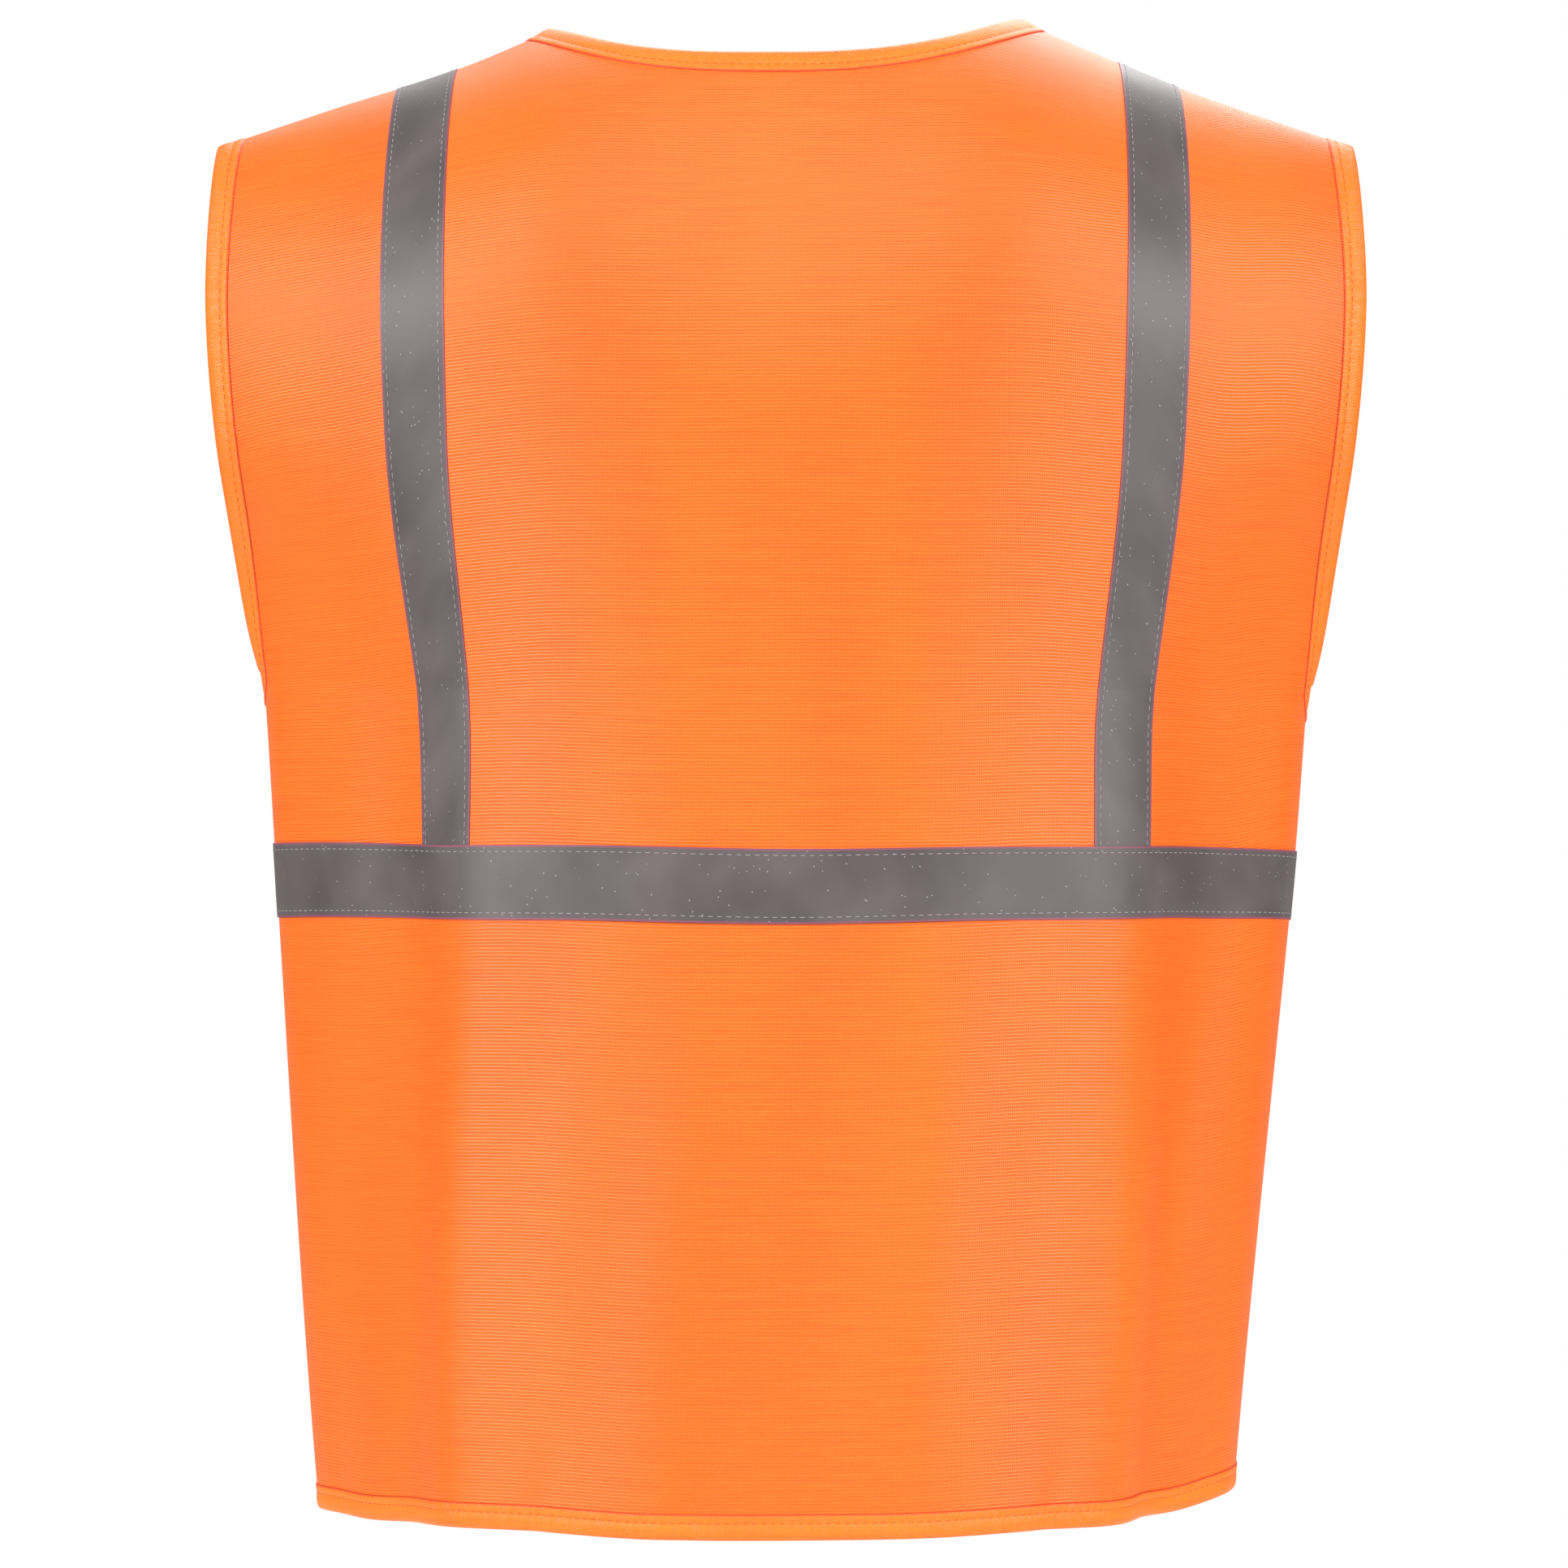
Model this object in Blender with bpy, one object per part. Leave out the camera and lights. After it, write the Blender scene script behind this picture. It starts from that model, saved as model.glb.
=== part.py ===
"""High visibility vest: a sleeveless bound vest of warp knit, with retroreflective tapes
over the shoulders and round the waist, closed in front by one hook-and-loop strip.

The wearer faces -Y and +X is the wearer's left. The origin lies midway between the neck
ends of the two shoulder seams, where the wearer's shoulders or a hanger carry the vest.
Each fabric piece is a grid of points on the worn surface, given a thickness along that
surface's normals, so pieces sewn in layers share their facets and never cross.
"""

import math

import bpy
from mathutils import Vector

# Driving dimensions, in metres and degrees. Heights are drops below the origin.
HALF_CHEST = 0.325  # centre back to side seam along the fabric: a quarter of the girth
FLAT_BACK = 0.030  # level stretch beside the centre line
BACK_BEND = 0.165  # stretch over which the back turns towards the side
SIDE_BEND = 0.035  # stretch that turns over the side seam
SIDE_BEND_TOP, SIDE_BEND_EASE = 0.240, 0.090  # drop at which it sets in, and over how much
CHEST = 0.125  # drop at which the vest is widest
UNDERARM = 0.322  # drop of the finished bottom of the armholes
WAIST_TOP = 0.3965
TAPE = 0.035  # width of every tape
HEM = 0.7195
BINDING = 0.012  # finished width of the edge binding
CHEST_TILT, UNDERARM_TILT, HEM_TILT = 30.9, 46.0, 59.2  # how far the side stretch turns
YOKE_TURN = 6.3  # how much more it turns level with the neck
NECK_X = 0.1264  # neck end of the shoulder seam
SHOULDER_X, SHOULDER_DROP, SHOULDER_SLOPE = 0.2764, 0.0528, 0.33  # its armhole end
NECK_ARCH = 0.0278  # height of the ridge's arch over the neck opening
ROLL, NECK_ROLL = 0.15, 0.07  # height over which the back rolls over the shoulders, and more
NECK_DROP = 0.027  # drop of the back neck seam at its centre
ARMHOLE_CUT = 0.020  # how far the armhole is cut in from the side seam
ARMHOLE_BOWL = 0.100  # height of the rounded bottom of the armhole
BRACE_IN, BRACE_SHIFT = 0.167, 0.009  # centre line to brace tape, and its lean to the waist
V_DROP = 0.250  # drop of the bottom of the V neck
OVERLAP = 0.020  # overlap of the front's two seam lines, and width of the closing strips
LIFT = 0.0055  # how far the left front stands proud of the right one it laps over
FOLD_TOP_X, FOLD_HEM_X = 0.090, 0.125  # line on which each front folds open
HINGE_FORWARD = 0.0100  # hinge axis in front of the fold line's two ends
SEAM_ALLOWANCE = 0.010
EASE = 0.060  # height over which the waist's growing depth sets in, above and below UNDERARM

FABRIC = 0.0012
TAPE_THICKNESS = 0.0006
BINDING_THICKNESS = 0.0026
STRIP_THICKNESS = 0.0012
LABEL_THICKNESS = 0.0005
SIZE_LABEL = (0.028, 0.022)  # width and drop of each label
CARE_LABEL = (0.035, 0.050)
CARE_LABEL_TOP = -0.600
LABEL_INSET = 0.002
GAP = 0.0003
FOLD_GAP = 0.0010

FINISHES = {
    "shell_fabric": ((1.0, 0.27, 0.06, 1.0), 0.75),
    "edge_binding": ((1.0, 0.34, 0.06, 1.0), 0.70),
    "reflective_tape": ((0.20, 0.18, 0.19, 1.0), 0.45),
    "hook_and_loop": ((0.95, 0.25, 0.05, 1.0), 0.90),
    "label_fabric": ((0.85, 0.85, 0.83, 1.0), 0.60),
}

# Rows of every grid: shares of the way from the top edge to the underarm seam, then drops.
ARC_ROWS = 12
UPPER_ROWS = [(1 - math.cos(math.pi * k / ARC_ROWS)) / 2 for k in range(ARC_ROWS + 1)]
UPPER_ROWS.insert(1, 0.0022)
UNDERARM_SEAM = UNDERARM + BINDING
HEM_SEAM = HEM - BINDING
LOWER_ROWS = [(UNDERARM_SEAM + WAIST_TOP) / 2, WAIST_TOP, WAIST_TOP + TAPE, 0.50, 0.57, 0.64, HEM_SEAM]
UNDERARM_ROW = len(UPPER_ROWS) - 1
WAIST_ROW = UNDERARM_ROW + 2
FOLD_ROW = 5  # row on which the fold line leaves the V neck
V_ROW = 9  # row at the bottom of the V neck


def smooth(share):
    share = min(max(share, 0.0), 1.0)
    return share * share * (3 - 2 * share)


# The worn surface.


def side_tilt(z):
    """Angle that the stretch between brace and side seam has turned through."""
    if -z < CHEST:
        return math.radians(CHEST_TILT + YOKE_TURN * ((CHEST + z) / CHEST) ** 2)
    if -z < UNDERARM:
        share = (-z - CHEST) / (UNDERARM - CHEST)
        return math.radians(CHEST_TILT + (UNDERARM_TILT - CHEST_TILT) * share**1.6)
    share = (-z - UNDERARM) / (HEM - UNDERARM)
    return math.radians(UNDERARM_TILT + (HEM_TILT - UNDERARM_TILT) * share)


def section(s, z):
    """How far across and forward the fabric is, s along it from the centre back."""
    tilt = side_tilt(z)
    x, forward = min(s, FLAT_BACK), 0.0
    bent = min(max(s - FLAT_BACK, 0.0), BACK_BEND)
    radius = BACK_BEND / tilt
    x += radius * math.sin(bent / radius)
    forward += radius * (1 - math.cos(bent / radius))
    side_start = HALF_CHEST - SIDE_BEND
    straight = min(max(s - FLAT_BACK - BACK_BEND, 0.0), side_start - FLAT_BACK - BACK_BEND)
    x += straight * math.cos(tilt)
    forward += straight * math.sin(tilt)
    turned = smooth((-z - SIDE_BEND_TOP) / SIDE_BEND_EASE) * (math.pi / 2 - tilt)
    past = max(s - side_start, 0.0)
    if turned < 1e-3:
        return x + past * math.cos(tilt), forward + past * math.sin(tilt)
    angle = tilt + turned * past / SIDE_BEND
    x += SIDE_BEND / turned * (math.sin(angle) - math.sin(tilt))
    forward += SIDE_BEND / turned * (math.cos(tilt) - math.cos(angle))
    return x, forward


def along(x, z):
    """Distance along the fabric to a point this far across, inside the back's bend."""
    radius = BACK_BEND / side_tilt(z)
    return x if x < FLAT_BACK else FLAT_BACK + radius * math.asin((x - FLAT_BACK) / radius)


def ridge(x):
    """Height of the shoulder line, carried on over the neck opening as a low arch."""
    if x < NECK_X:
        return ridge(NECK_X) + NECK_ARCH * (1 - (x / NECK_X) ** 2)
    sag = 0.0053 * (max(0.2 - x, 0.0) / 0.0844) ** 2
    return -SHOULDER_DROP + SHOULDER_SLOPE * (SHOULDER_X - x) + sag


def surface(s, z):
    """Point of the back at this distance from its centre line and this height."""
    x, forward = section(s, z)
    below = min(max(-z - UNDERARM + EASE, 0.0), 2 * EASE)  # eases into the depth of the chest
    level = max(-z, UNDERARM + EASE) if below >= 2 * EASE else UNDERARM + below**2 / (4 * EASE)
    depth = section(HALF_CHEST, -level)[1]
    roll_height = ROLL + NECK_ROLL * max(1 - (x / NECK_X) ** 2, 0.0) ** 2
    fallen = min(max((ridge(x) - z) / roll_height, 0.0), 1.0)
    return Vector((x, (depth - forward) * math.sqrt(1 - (1 - fallen) ** 2), z))


# Lines on the surface, each as a distance along it at a height.


def brace_line(z):
    return BRACE_IN - BRACE_SHIFT * smooth((-z - 0.2) / 0.16)


def armhole_line(z):
    """The armhole's seam line, an upright edge with a rounded bottom, or the side seam."""
    bowl_top = UNDERARM - ARMHOLE_BOWL
    cut = ARMHOLE_CUT + BINDING
    into_bowl = max(-z - bowl_top, 0.0) / (ARMHOLE_BOWL + BINDING)
    return HALF_CHEST - cut * math.sqrt(max(1 - into_bowl**2, 0.0))


def v_neck_x(z):
    return NECK_X - (NECK_X + OVERLAP / 2) * min(max(-z / V_DROP, 0.0), 1.0) ** 1.25


def fold_x(z):
    share = (-z - FOLD_TOP) / (HEM_SEAM - FOLD_TOP)
    return FOLD_TOP_X + (FOLD_HEM_X - FOLD_TOP_X) * share


def neck_seam(x):
    return -NECK_DROP + (ridge(NECK_X) + NECK_DROP) * (x / NECK_X) ** 2


def height(top, row):
    if row <= UNDERARM_ROW:
        return top + (-UNDERARM_SEAM - top) * UPPER_ROWS[row]
    return -LOWER_ROWS[row - UNDERARM_ROW - 1]


ROWS = range(len(UPPER_ROWS) + len(LOWER_ROWS))
FOLD_TOP = -height(ridge(NECK_X), FOLD_ROW)
V_DROP = -height(ridge(NECK_X), V_ROW)
NECK_SHARE = along(NECK_X, 0.0) / brace_line(0.0)


def outer_columns(z):
    """Grid columns from the brace tape's inner edge to the armhole or side seam."""
    start = brace_line(z)
    edge = armhole_line(z)
    allowance = edge - SEAM_ALLOWANCE
    between = [start + TAPE + (allowance - start - TAPE) * k / 3 for k in (1, 2, 3)]
    return [start, start + TAPE / 2, start + TAPE] + between + [edge]


def back_columns(z):
    return [share * brace_line(z) for share in (0, 0.27, 0.53, NECK_SHARE)] + outer_columns(z)


def front_columns(z):
    if -z < FOLD_TOP - 1e-6:
        start = along(v_neck_x(z), z)
    else:
        start = along(fold_x(z) + FOLD_GAP / 2, z)
    return [start, (start + brace_line(z)) / 2] + outer_columns(z)


def grid(columns):
    """Points of the left half of a panel, row by row from its neck and shoulder edge."""
    points = []
    for row in ROWS:
        line = []
        for column in range(len(columns(0.0))):
            z = 0.0
            for _ in range(8):  # settles the height at which the column meets the top edge
                x = section(columns(z)[column], z)[0]
                z = ridge(x) if x > NECK_X - 1e-4 else neck_seam(x)
            z = height(z, row)
            for _ in range(2):
                point = surface(columns(z)[column], z)
            line.append(Vector((point.x, max(point.y, GAP / 2), point.z)))
        points.append(line)
    return points


# From grids of points to closed solids.


def normals(points):
    """Outward normal at each grid point, level where two panels meet at a seam."""
    rows, columns = len(points), len(points[0])
    result = []
    for i in range(rows):
        line = []
        for j in range(columns):
            down = points[min(i + 1, rows - 1)][j] - points[max(i - 1, 0)][j]
            over = points[i][min(j + 1, columns - 1)] - points[i][max(j - 1, 0)]
            normal = over.cross(down)
            if abs(points[i][j].y) < GAP:
                normal.y = 0.0
            line.append(normal.normalized())
        result.append(line)
    return result


def outward(points, directions):
    """The same normals, turned to point away from the body."""
    middle = Vector((0.0, 0.0, points[len(points) // 2][len(points[0]) // 2].z))
    ray = points[len(points) // 2][len(points[0]) // 2] - middle
    flip = 1.0 if directions[len(points) // 2][len(points[0]) // 2].dot(ray) > 0 else -1.0
    return [[normal * flip for normal in line] for line in directions]


class Sheet:
    """A grid of surface points with their outward normals."""

    def __init__(self, points, directions=None):
        self.points = points
        self.normals = directions or outward(points, normals(points))

    def part(self, rows, columns):
        """The sheet between two rows and two columns, both included."""
        first, last = columns
        cut = [
            [line[first : last + 1] for line in side[rows[0] : rows[1] + 1]]
            for side in (self.points, self.normals)
        ]
        return Sheet(*cut)

    def mirrored(self, axis):
        flip = Vector([-1.0 if k == axis else 1.0 for k in range(3)])
        sides = (self.points, self.normals)
        return Sheet(*([[value * flip for value in line] for line in side] for side in sides))

    def trimmed(self):
        """The sheet with its last row drawn in, clear of the tape that crosses below it."""
        last = [
            point + (above - point).normalized() * GAP
            for point, above in zip(self.points[-1], self.points[-2])
        ]
        return Sheet(self.points[:-1] + [last], self.normals)


def finish(mesh_object, finish_name):
    colour, roughness = FINISHES[finish_name]
    material = bpy.data.materials.new(mesh_object.name)
    material.use_nodes = True
    shader = material.node_tree.nodes["Principled BSDF"]
    shader.inputs["Base Color"].default_value = colour
    shader.inputs["Roughness"].default_value = roughness
    shader.inputs["Metallic"].default_value = 0.0
    material.diffuse_color = colour
    mesh_object.data.materials.append(material)


def add_object(name, points, faces, finish_name, pivot=None):
    pivot = pivot or Vector((0.0, 0.0, 0.0))
    mesh = bpy.data.meshes.new(name)
    mesh.from_pydata([point - pivot for point in points], [], faces)
    mesh.validate()
    piece = bpy.data.objects.new(name, mesh)
    piece.location = pivot
    bpy.context.scene.collection.objects.link(piece)
    finish(piece, finish_name)
    return piece


def cell_triangles(sheet, i, j, columns):
    """A grid cell cut from its upper inner corner, the same way in every layer over it."""
    upper, next_upper = i * columns + j, i * columns + j + 1
    lower, next_lower = upper + columns, next_upper + columns
    if abs(sheet.points[i][j].x) < abs(sheet.points[i][j + 1].x):
        return [upper, next_upper, next_lower], [upper, next_lower, lower]
    return [upper, next_upper, lower], [next_upper, next_lower, lower]


def add_sheet(name, sheet, low, high, finish_name, pivot=None):
    """Closed solid between two offsets from a sheet."""
    rows, columns = len(sheet.points), len(sheet.points[0])
    layers = []
    for offset in (low, high):
        for line, directions in zip(sheet.points, sheet.normals):
            layers += [point + normal * offset for point, normal in zip(line, directions)]
    layer = rows * columns
    faces = []
    for i in range(rows - 1):
        for j in range(columns - 1):
            for triangle in cell_triangles(sheet, i, j, columns):
                faces.append(triangle)
                faces.append([layer + k for k in reversed(triangle)])
    rim = list(range(columns))
    rim += [i * columns + columns - 1 for i in range(1, rows)]
    rim += [(rows - 1) * columns + j for j in range(columns - 2, -1, -1)]
    rim += [i * columns for i in range(rows - 2, 0, -1)]
    for a, b in zip(rim, rim[1:] + rim[:1]):
        faces.append([b, a, layer + a, layer + b])
    over = sheet.points[0][1] - sheet.points[0][0]
    down = sheet.points[1][0] - sheet.points[0][0]
    if over.cross(down).dot(sheet.normals[0][0]) > 0:
        faces = [face[::-1] for face in faces]
    return add_object(name, layers, faces, finish_name, pivot)


def add_edge(name, path, directions, closed=False, pivot=None):
    """Edge binding: a strip that carries the fabric on past a panel's edge.

    The path runs with the fabric on its left, seen from outside the vest.
    """
    count = len(path)
    corners = []
    for k, (point, normal) in enumerate(zip(path, directions)):
        after = path[(k + 1) % count] if closed else path[min(k + 1, count - 1)]
        before = path[k - 1] if closed else path[max(k - 1, 0)]
        away = (after - before).cross(normal).normalized()
        half = normal * BINDING_THICKNESS / 2
        for reach, side in ((GAP, -half), (BINDING, -half), (BINDING, half), (GAP, half)):
            corners.append(point + away * reach + side)
    faces = []
    for k in range(count if closed else count - 1):
        following = (k + 1) % count
        for a, b in ((0, 1), (1, 2), (2, 3), (3, 0)):
            faces.append([4 * k + b, 4 * k + a, 4 * following + a, 4 * following + b])
    if not closed:
        faces.append([0, 1, 2, 3])
        faces.append([4 * (count - 1) + k for k in (3, 2, 1, 0)])
    return add_object(name, corners, faces, "edge_binding", pivot)


def box(name, low, high, finish_name, pivot):
    spans = list(zip(low, high))
    corners = [Vector((x, y, z)) for z in spans[2] for y in spans[1] for x in spans[0]]
    faces = [(0, 2, 3, 1), (4, 5, 7, 6), (0, 1, 5, 4), (2, 6, 7, 3), (0, 4, 6, 2), (1, 3, 7, 5)]
    return add_object(name, corners, faces, finish_name, pivot)


SKIN = FABRIC / 2  # offset of a panel's outer face from its mid surface
ON_TOP = (SKIN + GAP, SKIN + GAP + TAPE_THICKNESS)
INSIDE = (-SKIN - GAP - FABRIC, -SKIN - GAP)


def joined(first, second):
    """Two halves of a panel's grid as one, the second half mirrored to the left of it."""
    return [mirror[:0:-1] + line for line, mirror in zip(first, second)]


def flap_sheet(side):
    """The folding part of one front; side is 1 for the wearer's left, which laps over."""
    points, fold_points = [], []
    levels = [height(ridge(NECK_X), row) for row in ROWS if row > FOLD_ROW]
    for z in [-FOLD_TOP - 0.006] + levels:
        edge, fold = v_neck_x(z), fold_x(z) - FOLD_GAP / 2
        shares = (0.0, OVERLAP / (OVERLAP / 2 + fold), 0.4, 0.6, 0.8, 1.0)
        line = []
        for share in shares:
            x = edge + (fold - edge) * share
            point = surface(along(abs(x), z), z)
            lap = LIFT * smooth((fold - x) / (fold - 0.030)) if side > 0 else 0.0
            line.append(Vector((side * x, -point.y - lap, z)))
        points.append(line)
    return Sheet(points)


def add_shell(back, front):
    """Panels, shoulder and side seams, and the tapes on the part that doesn't fold."""
    last = len(back.points[0]) - 1
    centre = last // 2
    add_sheet("back_panel", back, -SKIN, SKIN, "shell_fabric")
    waist = (WAIST_ROW, WAIST_ROW + 1)
    add_sheet("back_waist_tape", back.part(waist, (0, last)), *ON_TOP, "reflective_tape")
    for word, side in (("left", 1), ("right", -1)):
        own_front = front if side > 0 else front.mirrored(0)
        add_sheet(f"{word}_front_panel", own_front, -SKIN, SKIN, "shell_fabric")
        # Columns from the brace tape outwards, counted from the panel's centre line.
        half = back.part((0, len(ROWS) - 1), (centre, last))
        own_back = half if side > 0 else half.mirrored(0)
        brace = own_back.part((0, WAIST_ROW), (4, 6)).trimmed()
        add_sheet(f"{word}_back_brace_tape", brace, *ON_TOP, "reflective_tape")
        brace = own_front.part((0, WAIST_ROW), (2, 4)).trimmed()
        add_sheet(f"{word}_front_brace_tape", brace, *ON_TOP, "reflective_tape")
        edge = len(own_front.points[0]) - 1
        tape = own_front.part(waist, (0, edge))
        add_sheet(f"{word}_side_waist_tape", tape, *ON_TOP, "reflective_tape")
        seam = own_back.part((0, 1), (3, last - centre))
        add_sheet(f"{word}_shoulder_seam", seam, *INSIDE, "shell_fabric")
        seam = own_back.part((UNDERARM_ROW, len(ROWS) - 1), (last - centre - 1, last - centre))
        add_sheet(f"{word}_side_seam", seam, *INSIDE, "shell_fabric")


def on_seam(point):
    return Vector((point.x, 0.0, point.z))


def add_shell_bindings(back, front):
    """Bindings of the neck, the two armholes and the hem of the part that doesn't fold."""
    last = len(back.points[0]) - 1
    centre = last // 2
    other = front.mirrored(0)
    neck = range(centre - 3, centre + 4)
    up = range(FOLD_ROW, 0, -1)
    path = [other.points[i][0] for i in up] + [on_seam(back.points[0][centre - 3])]
    directions = [other.normals[i][0] for i in up] + [back.normals[0][centre - 3]]
    path += [back.points[0][j] for j in neck[1:-1]] + [on_seam(back.points[0][centre + 3])]
    directions += [back.normals[0][j] for j in neck[1:]]
    path += [front.points[i][0] for i in reversed(up)]
    directions += [front.normals[i][0] for i in reversed(up)]
    add_edge("neck_binding", path, directions)

    rows = range(1, UNDERARM_ROW)
    for word, side in (("left", 1), ("right", -1)):
        edge = last if side > 0 else 0
        shift = front if side > 0 else other
        top, bottom = (on_seam(back.points[k][edge]) for k in (0, UNDERARM_ROW))
        path = [top] + [back.points[i][edge] for i in rows] + [bottom]
        path += [shift.points[i][-1] for i in reversed(rows)]
        directions = [back.normals[i][edge] for i in range(UNDERARM_ROW + 1)]
        directions += [shift.normals[i][-1] for i in reversed(rows)]
        if side < 0:
            path, directions = path[::-1], directions[::-1]
        add_edge(f"{word}_armhole_binding", path, directions, closed=True)

    path = front.points[-1][:-1] + [on_seam(front.points[-1][-1])]
    directions = front.normals[-1][:]
    path += back.points[-1][-2:0:-1] + [on_seam(back.points[-1][0])]
    directions += back.normals[-1][-2::-1]
    path += other.points[-1][-2::-1]
    directions += other.normals[-1][-2::-1]
    add_edge("hem_binding", path, directions)


def add_front(word, side):
    """One folding front with its tape, bindings and closing strip, origin on its hinge."""
    sheet = flap_sheet(side)
    top = sheet.points[0][-1]
    pivot = Vector((side * fold_x(top.z), top.y - HINGE_FORWARD, top.z))
    add_sheet(f"{word}_front_flap", sheet, -SKIN, SKIN, "shell_fabric", pivot)
    waist = WAIST_ROW - FOLD_ROW
    tape = sheet.part((waist, waist + 1), (0, 5))
    add_sheet(f"{word}_flap_waist_tape", tape, *ON_TOP, "reflective_tape", pivot)
    closing = sheet.part((V_ROW - FOLD_ROW, len(sheet.points) - 1), (0, 1))
    inner = (-SKIN - GAP - STRIP_THICKNESS, -SKIN - GAP)
    outer = (SKIN + GAP + TAPE_THICKNESS + GAP, SKIN + 2 * GAP + TAPE_THICKNESS + STRIP_THICKNESS)
    strip, place = ("hook_strip", inner) if side > 0 else ("loop_strip", outer)
    add_sheet(strip, closing, *place, "hook_and_loop", pivot)

    path = [line[0] for line in sheet.points]
    directions = [line[0] for line in sheet.normals]
    path.append(path[-1] + (path[-1] - path[-2]).normalized() * BINDING)
    directions.append(directions[-1])
    hem = [sheet.points[-1][j] for j in range(6)]
    hem_directions = sheet.normals[-1][:]
    if side < 0:
        path, directions = path[::-1], directions[::-1]
        hem, hem_directions = hem[::-1], hem_directions[::-1]
    add_edge(f"{word}_front_edge_binding", path, directions, pivot=pivot)
    add_edge(f"{word}_flap_hem_binding", hem, hem_directions, pivot=pivot)


def add_labels():
    """Blank woven labels: one under the back neck, one in the wearer's left side seam."""
    width, drop = SIZE_LABEL
    top = -NECK_DROP - LABEL_INSET
    y = surface(0.0, top).y - 0.0030
    low, high = (-width / 2, y - LABEL_THICKNESS, top - drop), (width / 2, y, top)
    box("size_label", low, high, "label_fabric", Vector((0, y, top)))
    width, drop = CARE_LABEL
    x = section(HALF_CHEST, CARE_LABEL_TOP - drop)[0] - 0.0045
    low = (x - width, -LABEL_THICKNESS / 2, CARE_LABEL_TOP - drop)
    high = (x, LABEL_THICKNESS / 2, CARE_LABEL_TOP)
    box("care_label", low, high, "label_fabric", Vector((x, 0, CARE_LABEL_TOP)))


def main():
    for old in list(bpy.data.objects):
        bpy.data.objects.remove(old, do_unlink=True)
    half = grid(back_columns)
    other_half = [[Vector((-point.x, point.y, point.z)) for point in line] for line in half]
    back = Sheet(joined(half, other_half))
    front = Sheet(grid(front_columns)).mirrored(1)
    add_shell(back, front)
    add_shell_bindings(back, front)
    for word, side in (("left", 1), ("right", -1)):
        add_front(word, side)
    add_labels()


main()
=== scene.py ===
"""High visibility vest, as worn: knitted panels, reflective tapes, bindings and stitching.

The wearer faces -Y and +X is the wearer's left. A place on the cloth is a pair: s, the
distance along the cloth from the centre line in metres, and t, the way down the panel,
0 on its neck and shoulder edge, 1 level with the underarm seam and 2 on the hem seam.
"""

import math

import bmesh
import bpy
import numpy as np
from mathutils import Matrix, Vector


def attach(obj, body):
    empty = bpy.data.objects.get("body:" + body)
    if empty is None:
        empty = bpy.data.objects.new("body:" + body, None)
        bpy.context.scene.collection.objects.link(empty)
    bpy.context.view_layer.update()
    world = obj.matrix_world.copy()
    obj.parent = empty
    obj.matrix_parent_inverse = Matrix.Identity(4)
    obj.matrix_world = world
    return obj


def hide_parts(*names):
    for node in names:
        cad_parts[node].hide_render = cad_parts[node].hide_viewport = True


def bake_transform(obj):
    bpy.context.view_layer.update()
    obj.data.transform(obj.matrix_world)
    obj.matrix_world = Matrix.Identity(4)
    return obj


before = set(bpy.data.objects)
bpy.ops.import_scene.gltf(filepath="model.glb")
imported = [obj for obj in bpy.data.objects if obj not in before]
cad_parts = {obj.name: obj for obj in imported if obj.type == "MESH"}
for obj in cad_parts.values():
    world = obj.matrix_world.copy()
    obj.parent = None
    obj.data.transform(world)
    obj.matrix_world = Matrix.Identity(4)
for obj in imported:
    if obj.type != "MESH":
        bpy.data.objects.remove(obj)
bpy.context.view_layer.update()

# Sizes of the cut, in metres and degrees. Heights are drops below the neck ends of the seams.
HALF_CHEST = 0.325
FLAT_BACK = 0.030
BACK_BEND = 0.165
SIDE_BEND = 0.035
CHEST = 0.125
UNDERARM = 0.322
WAIST_TOP = 0.3965
TAPE = 0.035
HEM = 0.7195
BINDING = 0.012
CHEST_TILT, UNDERARM_TILT, HEM_TILT = 30.9, 46.0, 59.2
TILT_POWER = 1.6
YOKE_TURN = 6.3  # how much further the cloth turns at the top of the chest
SHOULDER_X, SHOULDER_DROP, SHOULDER_SLOPE = 0.2764, 0.0528, 0.33
RISE, RISE_START, RISE_REACH = 0.0053, 0.2, 0.0844  # the shoulder line curves up to the neck
NECK_X = 0.1264
NECK_DROP = 0.0255
NECK_ARCH = 0.0278  # the low arch that the shoulder line follows over the neck opening
NECK_CURVE, V_CURVE = 2.6, 1.25  # powers that shape the back neck and the V
ROLL, NECK_ROLL = 0.15, 0.07  # drop over which the cloth rolls over the shoulder, and more at the neck
SIDE_BEND_TOP, SIDE_BEND_EASE = 0.082, 0.09  # where the bend at the side seam begins and fades in
ARMHOLE_CUT = 0.020
ARMHOLE_BOWL = 0.100
BRACE_IN, BRACE_SHIFT = 0.167, 0.009
BRACE_SHIFT_TOP, BRACE_SHIFT_EASE = 0.2, 0.16
OVERLAP = 0.020
LIFT = 0.0055  # how far the left front stands off the right one
LIFT_EDGE, LIFT_TOP, LIFT_EASE = 0.030, 0.02, 0.05
SEAM_GAP_TOP, SEAM_GAP_EASE = 0.20, 0.13
SEAM_GAP_START, SEAM_GAP_REACH = 0.15, 0.17
FOLD_TOP_X, FOLD_HEM_X = 0.090, 0.125
EASE = 0.060
UNDERARM_SEAM = UNDERARM + BINDING
HEM_SEAM = HEM - BINDING
ARC_ROWS = 12
FOLD_T, V_T = 4 / ARC_ROWS, 8 / ARC_ROWS  # t at the top of the fold and at the foot of the V

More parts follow.
